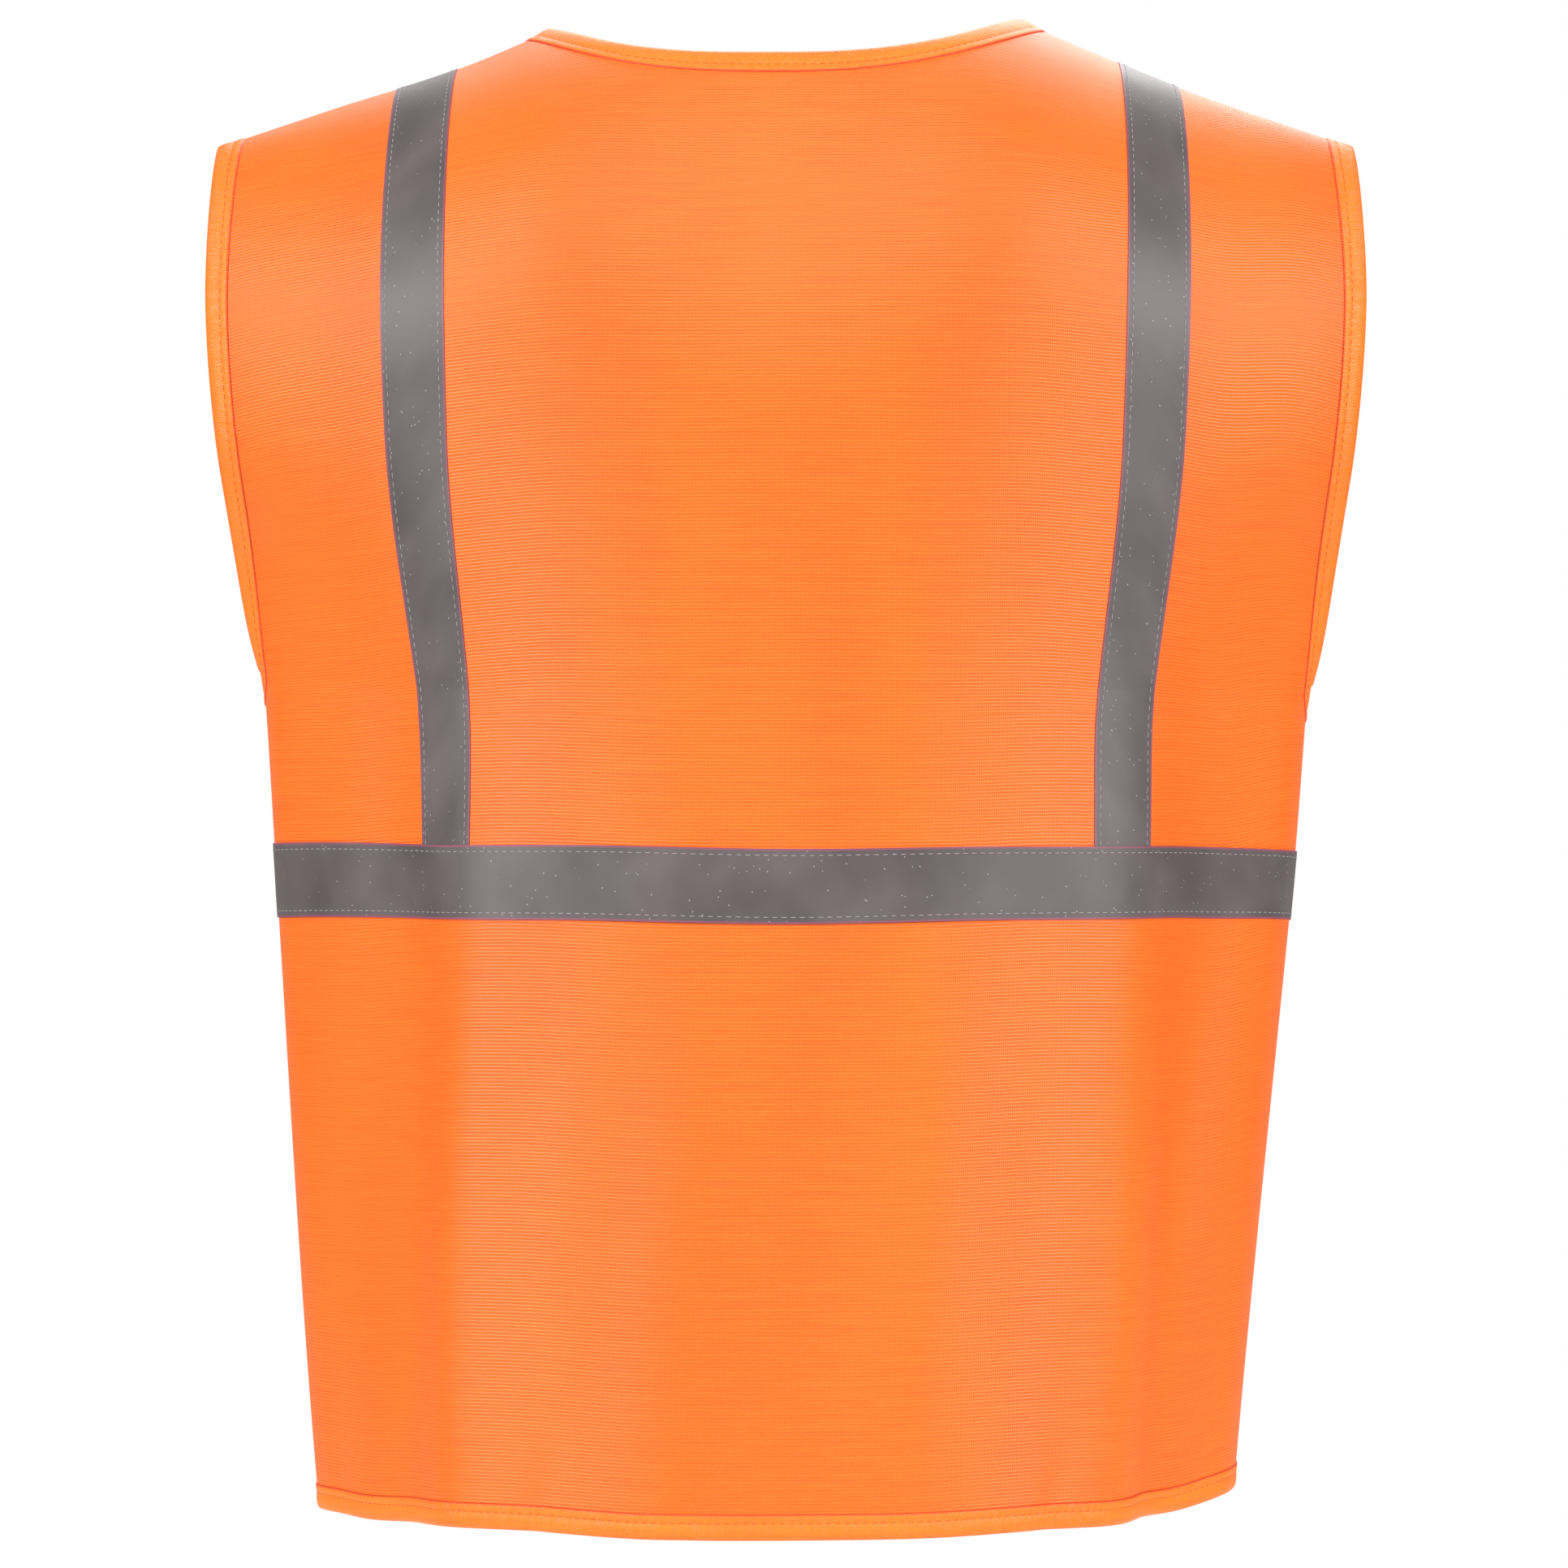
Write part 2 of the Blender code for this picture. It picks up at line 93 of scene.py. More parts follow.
# Sizes of the sewing.
CLOTH = 0.0009  # thickness of the knit
TAPE_THICKNESS = 0.0003
STITCH_PITCH = 0.0043
STITCH_LENGTH = 0.0031
THREAD = 0.00042
TAPE_ROW = 0.0031  # from a tape's edge to its row of stitches
BINDING_ROW = 0.0042  # from a binding's inner edge to its row of stitches
LEFT, RIGHT = 1, -1
TOP_ROUNDS, COLUMN_ROUNDS = 6, 8  # enough for the distance across and the height to agree
LEAST_TURN = 1e-3  # keeps the bend at the side seam off a division by zero
NORMAL_STEP = 1e-3
EDGE_STEP = 0.002  # how fine the bindings are
SHARP = math.radians(60)


def smooth(share):
    share = np.clip(share, 0.0, 1.0)
    return share * share * (3 - 2 * share)


# The worn surface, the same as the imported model's, on arrays of s and z.


def side_tilt(z):
    drop = -np.asarray(z, float)
    high = CHEST_TILT + YOKE_TURN * (np.maximum(CHEST - drop, 0.0) / CHEST) ** 2
    share = np.clip((drop - CHEST) / (UNDERARM - CHEST), 0.0, 1.0)
    middle = CHEST_TILT + (UNDERARM_TILT - CHEST_TILT) * share**TILT_POWER
    low = UNDERARM_TILT + (HEM_TILT - UNDERARM_TILT) * (drop - UNDERARM) / (HEM - UNDERARM)
    return np.radians(np.where(drop < CHEST, high, np.where(drop < UNDERARM, middle, low)))


def section(s, z):
    """How far across and forward the cloth is, s along it from the centre back."""
    tilt = side_tilt(z)
    radius = BACK_BEND / tilt
    bent = np.clip(s - FLAT_BACK, 0.0, BACK_BEND)
    side_start = HALF_CHEST - SIDE_BEND
    straight = np.clip(s - FLAT_BACK - BACK_BEND, 0.0, side_start - FLAT_BACK - BACK_BEND)
    turned = smooth((-z - UNDERARM + SIDE_BEND_TOP) / SIDE_BEND_EASE) * (math.pi / 2 - tilt)
    turned = np.maximum(turned, LEAST_TURN)
    angle = tilt + turned * np.maximum(s - side_start, 0.0) / SIDE_BEND
    x = np.minimum(s, FLAT_BACK) + radius * np.sin(bent / radius) + straight * np.cos(tilt)
    x += SIDE_BEND / turned * (np.sin(angle) - np.sin(tilt))
    forward = radius * (1 - np.cos(bent / radius)) + straight * np.sin(tilt)
    forward += SIDE_BEND / turned * (np.cos(tilt) - np.cos(angle))
    return x, forward


def along(x, z):
    """Distance along the cloth to a point this far across, on the back's flat or bend."""
    radius = BACK_BEND / side_tilt(z)
    bend = FLAT_BACK + radius * np.arcsin(np.clip((np.abs(x) - FLAT_BACK) / radius, 0.0, 1.0))
    return np.sign(x) * np.where(np.abs(x) < FLAT_BACK, np.abs(x), bend)


def shoulder_line(x):
    rise = RISE * (np.maximum(RISE_START - x, 0.0) / RISE_REACH) ** 2
    return -SHOULDER_DROP + SHOULDER_SLOPE * (SHOULDER_X - x) + rise


def ridge(x):
    """Height of the shoulder line, carried on over the neck opening as a low arch."""
    arch = shoulder_line(NECK_X) + NECK_ARCH * (1 - (x / NECK_X) ** 2)
    return np.where(x < NECK_X, arch, shoulder_line(x))


def chest_depth(z):
    below = np.clip(-z - UNDERARM + EASE, 0.0, 2 * EASE)
    level = np.where(below < 2 * EASE, UNDERARM + below**2 / (4 * EASE), -z)
    return section(np.full_like(level, HALF_CHEST), -level)[1]


def brace_line(z):
    return BRACE_IN - BRACE_SHIFT * smooth((-z - BRACE_SHIFT_TOP) / BRACE_SHIFT_EASE)


def armhole_line(z):
    into_bowl = np.maximum(-z - UNDERARM + ARMHOLE_BOWL, 0.0) / (ARMHOLE_BOWL + BINDING)
    return HALF_CHEST - (ARMHOLE_CUT + BINDING) * np.sqrt(np.maximum(1 - into_bowl**2, 0.0))


def share_down(t):
    return (1 - np.cos(math.pi * np.clip(t, -1.0, 1.0))) / 2


def height(top, t):
    upper = top + (-UNDERARM_SEAM - top) * share_down(t)
    return upper - (HEM_SEAM - UNDERARM_SEAM) * np.maximum(t - 1, 0.0)


NECK_TOP = float(shoulder_line(NECK_X))
FOLD_TOP = -height(NECK_TOP, FOLD_T)
V_DROP = -height(NECK_TOP, V_T)


def v_neck_x(z):
    return NECK_X - (NECK_X + OVERLAP / 2) * np.clip(-z / V_DROP, 0.0, 1.0) ** V_CURVE


def fold_x(z):
    return FOLD_TOP_X + (FOLD_HEM_X - FOLD_TOP_X) * (-z - FOLD_TOP) / (HEM_SEAM - FOLD_TOP)


# Soft upright folds of the hanging cloth: depth, turns per metre across, slant and start.
BROAD_FOLD = (0.0020, 38, 2.5, 0.2)
BROAD_SHIFT = 0.9  # the fronts' broad folds stand in other places than the back's
RIPPLE = (0.0007, 104, 9.0, 0.4)
CHEST_FOLD = (0.0016, 23, 6, 1.2)
FOLDS_TOP, FOLDS_EASE = 0.24, 0.32
CHEST_FOLD_TOP, CHEST_FOLD_EASE = 0.05, 0.10
RIPPLE_TURNS = 11  # the ripples come and go down the vest
# The narrow folds near the sides: depth in the middle and more outside, turns, slant, starts.
NARROW_DEPTH, NARROW_MORE = 0.0008, 0.0020
NARROW_TURNS, NARROW_SLANT, NARROW_LEVEL = 60, 1.5, 0.46
NARROW_LEFT, NARROW_RIGHT = 15.36, 16.90
NARROW_START, NARROW_MORE_REACH = 0.08, 0.10
# Puckers where the hem's stitches pull: how far across, and how wide.
PUCKERS = ((0.120, 0.0065), (-0.134, 0.0075), (0.043, 0.009))
PUCKER_DEPTH, PUCKER_SLANT, PUCKER_TOP, PUCKER_EASE = 0.0013, 0.25, 0.665, 0.045
# How fast folds grow away from the shoulders, the side seams and the closing.
SHOULDER_FREE, SEAM_FREE, CLOSING_FREE = 0.5, 0.05, 0.09


def fold(across, z, shape, offset=0.0):
    depth, turns, slant, start = shape
    return depth * np.cos(turns * across + slant * z + offset + start)


def drape(across, z, face):
    """How far the hanging cloth stands out in its folds, which deepen towards the hem."""
    low = smooth((-z - FOLDS_TOP) / FOLDS_EASE)
    reach = np.abs(across)
    deeper = NARROW_MORE * smooth((reach - NARROW_START) / NARROW_MORE_REACH)
    depth = smooth(reach / NARROW_START) * (NARROW_DEPTH + deeper)
    phase = np.where(across > 0, NARROW_LEFT, NARROW_RIGHT)
    narrow = depth * np.cos(NARROW_TURNS * reach - phase + NARROW_SLANT * (z + NARROW_LEVEL))
    ripple = fold(across, z, RIPPLE) * np.cos(RIPPLE_TURNS * z)
    chest = smooth((-z - CHEST_FOLD_TOP) / CHEST_FOLD_EASE) * fold(across, z, CHEST_FOLD)
    pulled = smooth((-z - PUCKER_TOP) / PUCKER_EASE)
    for place, width in PUCKERS:
        slanted = across - place + PUCKER_SLANT * (z + HEM)
        chest = chest - PUCKER_DEPTH * pulled * np.exp(-((slanted / width) ** 2))
    return low * (fold(across, z, BROAD_FOLD, BROAD_SHIFT * face) + narrow + ripple) + chest


# How the vest sits: one shoulder is lower, the right underarm sags, both underarms are drawn up,
# and the hem hangs uneven.
SIT_START, SIT_REACH = 0.16, 0.165
SAG_LEFT, SAG_RIGHT, SAG_REACH = 0.002, 0.010, 0.10
DRAWN_UP, DRAWN_ABOVE, DRAWN_BELOW = 0.009, 0.09, 0.056
HEM_LEFT, HEM_RIGHT = 0.0035, -0.007
YOKE_LEFT, YOKE_RIGHT = 0.0024, -0.0021
YOKE_REACH, YOKE_END, YOKE_EASE, YOKE_T = 0.12, 0.15, 0.09, 0.8
HITCH, HITCH_S, HITCH_REACH = 0.0019, 0.13, 0.05
SINK_LEFT, SINK_RIGHT, SINK_S, SINK_REACH = 0.0012, 0.0034, 0.25, 0.03
HEM_SHIFT = 0.0045


def bump(value, middle, reach):
    return np.exp(-(((value - middle) / reach) ** 2))


class Cloth:
    """A worn surface. face is 1 for the back and -1 for a front, side is the front's own."""

    def __init__(self, face, side=1):
        self.face, self.side = face, side

    def top(self, s):
        """Height of the edge that rows are counted from, above each s."""
        s = np.abs(s)
        z = np.zeros_like(s)
        for _ in range(TOP_ROUNDS):
            x = section(s, z)[0]
            neck = -NECK_DROP + (NECK_TOP + NECK_DROP) * (x / NECK_X) ** NECK_CURVE
            level = neck if self.face > 0 else np.full_like(x, NECK_TOP)
            z = np.where(x < NECK_X, level, shoulder_line(x))
        return z

    def place(self, s, t):
        """Points in the middle of the cloth."""
        s, t = np.broadcast_arrays(np.asarray(s, float), np.asarray(t, float))
        z = height(self.top(s), t)
        reach, toward = np.abs(s), np.sign(s)
        x, forward = section(reach, z)
        roll_height = ROLL + NECK_ROLL * np.maximum(1 - (x / NECK_X) ** 2, 0.0) ** 2
        fallen = np.clip((ridge(x) - z) / roll_height, 0.0, 1.0)
        y = (chest_depth(z) - forward) * np.sqrt(1 - (1 - fallen) ** 2)
        y -= self.seam_gap(z) * smooth((reach - SEAM_GAP_START) / SEAM_GAP_REACH)
        # Folds die away at the side seam, on the shoulders and where the fronts overlap.
        free = smooth(fallen / SHOULDER_FREE) * smooth((HALF_CHEST - reach) / SEAM_FREE)
        if self.face < 0:
            free = free * smooth((reach - OVERLAP) / CLOSING_FREE)
        world_side = toward if self.face > 0 else self.side
        out = free * drape(world_side * reach, z, self.face)
        lean = side_tilt(z) * smooth((reach - FLAT_BACK) / BACK_BEND)
        x, y = x + out * np.sin(lean), y + out * np.cos(lean)
        y = np.where((t < 0) & (reach > NECK_S), -y, y)
        points = np.stack([toward * x, y, z], -1)
        if self.face < 0:
            lap = LIFT * smooth((fold_x(z) - toward * x) / (fold_x(z) - LIFT_EDGE))
            if self.side == LEFT:
                points[..., 1] += lap * smooth((-z - LIFT_TOP) / LIFT_EASE)
            points = points * np.array([self.side, -1, 1])
        return self.settled(points, reach, world_side, t)

    def seam_gap(self, z):
        """What keeps the back and the front apart at the side seam's upper end."""
        at_seam = chest_depth(z) - section(np.full_like(z, HALF_CHEST), z)[1]
        return at_seam * smooth((-z - SEAM_GAP_TOP) / SEAM_GAP_EASE)

    def settled(self, points, reach, world_side, t):
        """The vest isn't worn quite straight, and its hem is one smooth curve."""
        left = world_side > 0
        outer = smooth((reach - SIT_START) / SIT_REACH)
        low = smooth(t - 1.0)
        z = points[..., 2]
        sag = bump(z, -UNDERARM_SEAM, SAG_REACH) * np.where(left, SAG_LEFT, SAG_RIGHT)
        drawn = DRAWN_UP * bump(z, -UNDERARM_SEAM, np.where(t < 1.0, DRAWN_ABOVE, DRAWN_BELOW))
        drop = sag + low * np.where(left, HEM_LEFT, HEM_RIGHT) - drawn
        sunk = bump(reach, SINK_S, SINK_REACH) * np.where(left, SINK_LEFT, SINK_RIGHT)
        hitched = HITCH * bump(reach, HITCH_S, HITCH_REACH)
        yoke = smooth(reach / YOKE_REACH) * (1 - smooth((reach - YOKE_END) / YOKE_EASE))
        yoke = yoke * (1 - smooth(t / YOKE_T)) * np.where(left, YOKE_LEFT, YOKE_RIGHT)
        points[..., 2] -= yoke + outer * drop + low * (sunk - hitched)
        points[..., 0] += HEM_SHIFT * low
        return points

    def normal(self, s, t):
        """Directions away from the wearer."""
        step = NORMAL_STEP
        s, t = np.broadcast_arrays(np.asarray(s, float), np.asarray(t, float))
        before = np.where((np.abs(s) < NECK_S + step) & (t < step), t, t - step)
        over = self.place(s + step, t) - self.place(s - step, t)
        down = self.place(s, t + step) - self.place(s, before)
        out = np.cross(over, down) * (1 if self.face > 0 else -self.side)
        return out / np.linalg.norm(out, axis=-1, keepdims=True)


NECK_S = float(along(np.array(NECK_X), np.array(0.0)))
BACK = Cloth(1)
FRONTS = {LEFT: Cloth(-1, LEFT), RIGHT: Cloth(-1, RIGHT)}
WORD = {LEFT: "left", RIGHT: "right"}


# Meshes.


def linked(name, mesh):
    piece = bpy.data.objects.new(name, mesh)
    bpy.context.scene.collection.objects.link(piece)
    return piece


def object_from(name, vertices, faces, material, uv=None):
    """A closed piece with its faces turned out and its cut coordinates in metres."""
    mesh = bpy.data.meshes.new(name)
    mesh.from_pydata(np.asarray(vertices).reshape(-1, 3).tolist(), [], faces)
    if uv is not None:
        corners = np.empty(len(mesh.loops), np.int32)
        mesh.loops.foreach_get("vertex_index", corners)
        layer = mesh.uv_layers.new(name="cut")
        layer.data.foreach_set("uv", np.asarray(uv).reshape(-1, 2)[corners].ravel())
        build = bmesh.new()
        build.from_mesh(mesh)
        bmesh.ops.recalc_face_normals(build, faces=build.faces)
        if build.calc_volume(signed=True) < 0:
            bmesh.ops.reverse_faces(build, faces=build.faces)
        build.to_mesh(mesh)
        build.free()
    mesh.shade_smooth()
    mesh.set_sharp_from_angle(angle=SHARP)
    mesh.materials.append(material)
    return linked(name, mesh)


def closed_sheet(name, points, normals, low, high, material, uv):
    """Cloth between two offsets from a grid of points, closed round its rim."""
    rows, columns = points.shape[:2]
    vertices = np.concatenate([points + normals * high, points + normals * low])
    layer = rows * columns
    corner = (np.arange(rows - 1)[:, None] * columns + np.arange(columns - 1)).ravel()
    quads = np.stack([corner, corner + columns, corner + columns + 1, corner + 1], 1)
    rim = list(range(columns)) + [i * columns + columns - 1 for i in range(1, rows)]
    rim += [(rows - 1) * columns + j for j in range(columns - 2, -1, -1)]
    rim += [i * columns for i in range(rows - 2, 0, -1)]
    sides = [[b, a, layer + a, layer + b] for a, b in zip(rim, rim[1:] + rim[:1])]
    faces = quads.tolist() + (layer + quads[:, ::-1]).tolist() + sides
    return object_from(name, vertices, faces, material, np.concatenate([uv.reshape(-1, 2)] * 2))


def away_from(path, normals, side, closed=False):
    """Directions off the cloth's edge, in the cloth's plane."""
    tangent = np.roll(path, -1, 0) - np.roll(path, 1, 0) if closed else np.gradient(path, axis=0)
    away = np.cross(tangent, normals) * side
    return away / np.linalg.norm(away, axis=1, keepdims=True)


def swept(name, path, normals, profile, material, side=1, closed=False):
    """A profile of (off the edge, out from the cloth) points carried along an edge."""
    shape = np.array(profile)
    ring, count = len(shape), len(path)
    away = away_from(path, normals, side, closed)
    length = np.concatenate([[0.0], np.cumsum(np.linalg.norm(np.diff(path, axis=0), axis=1))])
    steps = np.linalg.norm(np.diff(shape, axis=0), axis=1)
    around = np.concatenate([[0.0], np.cumsum(steps)])
    vertices = path[:, None] + away[:, None] * shape[None, :, :1] + normals[:, None] * shape[None, :, 1:]
    uv = np.stack(np.broadcast_arrays(length[:, None], around[None, :]), -1)
    faces = []
    for k in range(count if closed else count - 1):
        following = (k + 1) % count
        for a in range(ring):
            b = (a + 1) % ring
            faces.append([ring * k + a, ring * following + a, ring * following + b, ring * k + b])
    if not closed:
        faces.append(list(range(ring))[::-1])
        faces.append([ring * (count - 1) + a for a in range(ring)])
    return object_from(name, vertices, faces, material, uv)


def line(cloth, s, t):
    """Points and directions along a line on a cloth."""
    s, t = np.broadcast_arrays(np.asarray(s, float), np.asarray(t, float))
    return cloth.place(s, t), cloth.normal(s, t)


def evenly(points, normals, spacing, closed=False):
    """The line resampled to even steps."""
    if closed:
        points, normals = np.vstack([points, points[:1]]), np.vstack([normals, normals[:1]])
    length = np.concatenate([[0.0], np.cumsum(np.linalg.norm(np.diff(points, axis=0), axis=1))])
    at = np.linspace(0, length[-1], max(round(length[-1] / spacing), 2) + 1)
    at = at[:-1] if closed else at
    points = np.stack([np.interp(at, length, points[:, k]) for k in range(3)], 1)
    normals = np.stack([np.interp(at, length, normals[:, k]) for k in range(3)], 1)
    return points, normals / np.linalg.norm(normals, axis=1, keepdims=True)


# Materials.


def new_material(name, colour, roughness, sheen=0.0, specular=0.35):
    material = bpy.data.materials.new(name)
    material.use_nodes = True
    shader = material.node_tree.nodes["Principled BSDF"]
    shader.inputs["Base Color"].default_value = (*colour, 1.0)
    shader.inputs["Roughness"].default_value = roughness
    shader.inputs["Specular IOR Level"].default_value = specular
    shader.inputs["Sheen Weight"].default_value = sheen
    shader.inputs["Sheen Tint"].default_value = (*colour, 1.0)
    return material, material.node_tree, shader


def add_node(tree, kind, inputs=None, **settings):
    node = tree.nodes.new(kind)
    for key, value in settings.items():
        setattr(node, key, value)
    for key, value in (inputs or {}).items():
        if isinstance(value, bpy.types.NodeSocket):
            tree.links.new(value, node.inputs[key])
        else:
            node.inputs[key].default_value = value
    return node


def maths(tree, operation, a, b=0.0, c=0.0):
    return add_node(tree, "ShaderNodeMath", {0: a, 1: b, 2: c}, operation=operation).outputs[0]


def mixed(tree, share, first, second):
    """Between two colours, each an RGB triple or a socket."""
    inputs = {0: share}
    for key, colour in ((6, first), (7, second)):
        inputs[key] = colour if isinstance(colour, bpy.types.NodeSocket) else (*colour, 1.0)
    return add_node(tree, "ShaderNodeMix", inputs, data_type="RGBA").outputs[2]


def noise(tree, vector, scale, detail=2.0):
    inputs = {"Vector": vector, "Scale": scale, "Detail": detail}
    return add_node(tree, "ShaderNodeTexNoise", inputs).outputs[0]


def add_sockets(tree, rows, in_out):
    for label, kind, value in rows:
        socket = tree.interface.new_socket(label, in_out=in_out, socket_type=kind)
        if value is not None:
            socket.default_value = value


def wave(tree, coordinate, pitch):
    """A ridge from 0 to 1 that repeats along a coordinate in metres."""
    angle = maths(tree, "MULTIPLY", maths(tree, "DIVIDE", coordinate, pitch), 2 * math.pi)
    return maths(tree, "MULTIPLY_ADD", maths(tree, "SINE", angle), 0.5, 0.5)


# Knit: scales are turns per metre, across the cloth and down it where there are two.
WANDER_SCALE, YARN_SCALE = 160.0, 1100.0
COURSE_SHARE, RIB_SHARE = 0.3, 0.7
# The second scale here and the second tone below give painted fold light and shade: soft upright streaks,
# lighter and darker.
ROW_SCALE, FOLD_SHADE_SCALE = (22.0, 520.0, 1.0), (13.0, 2.4, 1.0)
ROW_TONE, FOLD_SHADE_TONE, RIB_TONE, TONE_LEVEL = 0.8, 0.7, 1.2, 0.75
KNIT_ROUGH, KNIT_SHINE, KNIT_BUMP = 0.47, 0.45, 0.6
# Painted shade along a binding's inner edge at the seam: its colour, where it begins to fade, and over what
# width.
SEAM_SHADE_COLOUR, SEAM_SHADE_START, SEAM_SHADE_WIDTH = (0.62, 0.045, 0.0), 0.0007, 0.0010


def rib_group():
    """Yarn ribs of a knit and the finer courses that cross them."""
    tree = bpy.data.node_groups.new("yarn_ribs", "ShaderNodeTree")
    number = "NodeSocketFloat"
    rows = [("Cut", "NodeSocketVector", None), ("Rib Pitch", number, 0.00125)]
    rows += [("Course Pitch", number, 0.0009), ("Unevenness", number, 0.25)]
    add_sockets(tree, rows, "INPUT")
    add_sockets(tree, [("Height", number, None), ("Shade", number, None)], "OUTPUT")
    given = tree.nodes.new("NodeGroupInput").outputs
    wander = maths(tree, "SUBTRACT", noise(tree, given["Cut"], WANDER_SCALE), 0.5)
    reach = maths(tree, "MULTIPLY", given["Rib Pitch"], given["Unevenness"])
    wander = maths(tree, "MULTIPLY", wander, reach)
    cut = add_node(tree, "ShaderNodeSeparateXYZ", {0: given["Cut"]}).outputs
    ribs = wave(tree, maths(tree, "ADD", cut[1], wander), given["Rib Pitch"])
    courses = wave(tree, maths(tree, "ADD", cut[0], wander), given["Course Pitch"])
    own = maths(tree, "MULTIPLY", ribs, RIB_SHARE)
    both = maths(tree, "MULTIPLY_ADD", courses, COURSE_SHARE, own)
    yarn = noise(tree, given["Cut"], YARN_SCALE, 1.0)
    # Shade is painted shade, darker in the grooves between ribs and courses, with yarn tone that varies at
    # random.
    shade = maths(tree, "MULTIPLY_ADD", yarn, 0.5, maths(tree, "MULTIPLY", both, 0.5))
    result = tree.nodes.new("NodeGroupOutput").inputs
    tree.links.new(both, result["Height"])
    tree.links.new(shade, result["Shade"])
    return tree


def stretched_noise(tree, cut, scale, detail):
    scaled = add_node(tree, "ShaderNodeVectorMath", {0: cut, 1: scale}, operation="MULTIPLY")
    return noise(tree, scaled.outputs[0], 1.0, detail)


def bumped(tree, shader, height, strength, distance):
    inputs = {"Height": height, "Strength": strength, "Distance": distance}
    tree.links.new(add_node(tree, "ShaderNodeBump", inputs).outputs[0], shader.inputs["Normal"])


def knit_material(name, dark, light, rib_pitch, course_pitch, depth, seam_shaded=False):
    """Knit with uneven rows and painted fold light and shade; a binding is also darker along its inner edge
    at the seam, a painted shade.
    """
    material, tree, shader = new_material(name, light, KNIT_ROUGH, 0.0, KNIT_SHINE)
    cut = add_node(tree, "ShaderNodeUVMap", uv_map="cut").outputs[0]
    ribs = add_node(tree, "ShaderNodeGroup", node_tree=RIBS)
    tree.links.new(cut, ribs.inputs["Cut"])
    ribs.inputs["Rib Pitch"].default_value = rib_pitch
    ribs.inputs["Course Pitch"].default_value = course_pitch
    rows = stretched_noise(tree, cut, ROW_SCALE, 2.0)
    # Painted fold light and shade: soft upright streaks, lighter and darker.
    fold_shade = maths(tree, "MULTIPLY", stretched_noise(tree, cut, FOLD_SHADE_SCALE, 1.0), FOLD_SHADE_TONE)
    tone = maths(tree, "MULTIPLY_ADD", rows, ROW_TONE, fold_shade)
    tone = maths(tree, "SUBTRACT", tone, TONE_LEVEL)
    tone = maths(tree, "MULTIPLY_ADD", ribs.outputs["Shade"], RIB_TONE, tone)
    colour = mixed(tree, tone, dark, light)
    # Painted shade along the binding's inner edge, fading out across it.
    if seam_shaded:
        across = add_node(tree, "ShaderNodeSeparateXYZ", {0: cut}).outputs[1]
        inside = maths(tree, "SUBTRACT", across, SEAM_SHADE_START)
        inside = maths(tree, "MAXIMUM", maths(tree, "DIVIDE", inside, SEAM_SHADE_WIDTH), 0.0)
        colour = mixed(tree, maths(tree, "MINIMUM", inside, 1.0), SEAM_SHADE_COLOUR, colour)
    tree.links.new(colour, shader.inputs["Base Color"])
    bumped(tree, shader, ribs.outputs["Height"], KNIT_BUMP, depth)
    return material


# Tape: a satin grey, clouded lighter and darker at random, with painted glints: single bright specks where
# glass beads catch the light.
TAPE_DARK, TAPE_LIGHT = (0.069, 0.052, 0.054), (0.127, 0.102, 0.104)
CLOUD_SCALE, CLOUD_GAIN, CLOUD_LEVEL = 24.0, 1.9, -0.45
# Painted glints: their colour, scale and size, the chance above which a bead glints, and how strongly.
GLINT_COLOUR, GLINT_SCALE, GLINT_SIZE, GLINT_CHANCE, GLINT_SHARE = (0.55, 0.52, 0.50), 380.0, 0.12, 0.72, 0.6
FRINGE, FRINGE_WIDTH, FRINGE_SHARE = (0.30, 0.06, 0.12), 0.0005, 0.6
RAGGED_SCALE, RAGGED = 420.0, 0.0009
TAPE_ROUGH, TAPE_ROUGH_CHANGE, TAPE_SHINE = 0.46, 0.10, 0.5
BEAD_SCALE, BEAD_BUMP, BEAD_DEPTH = 1500.0, 0.25, 0.0001


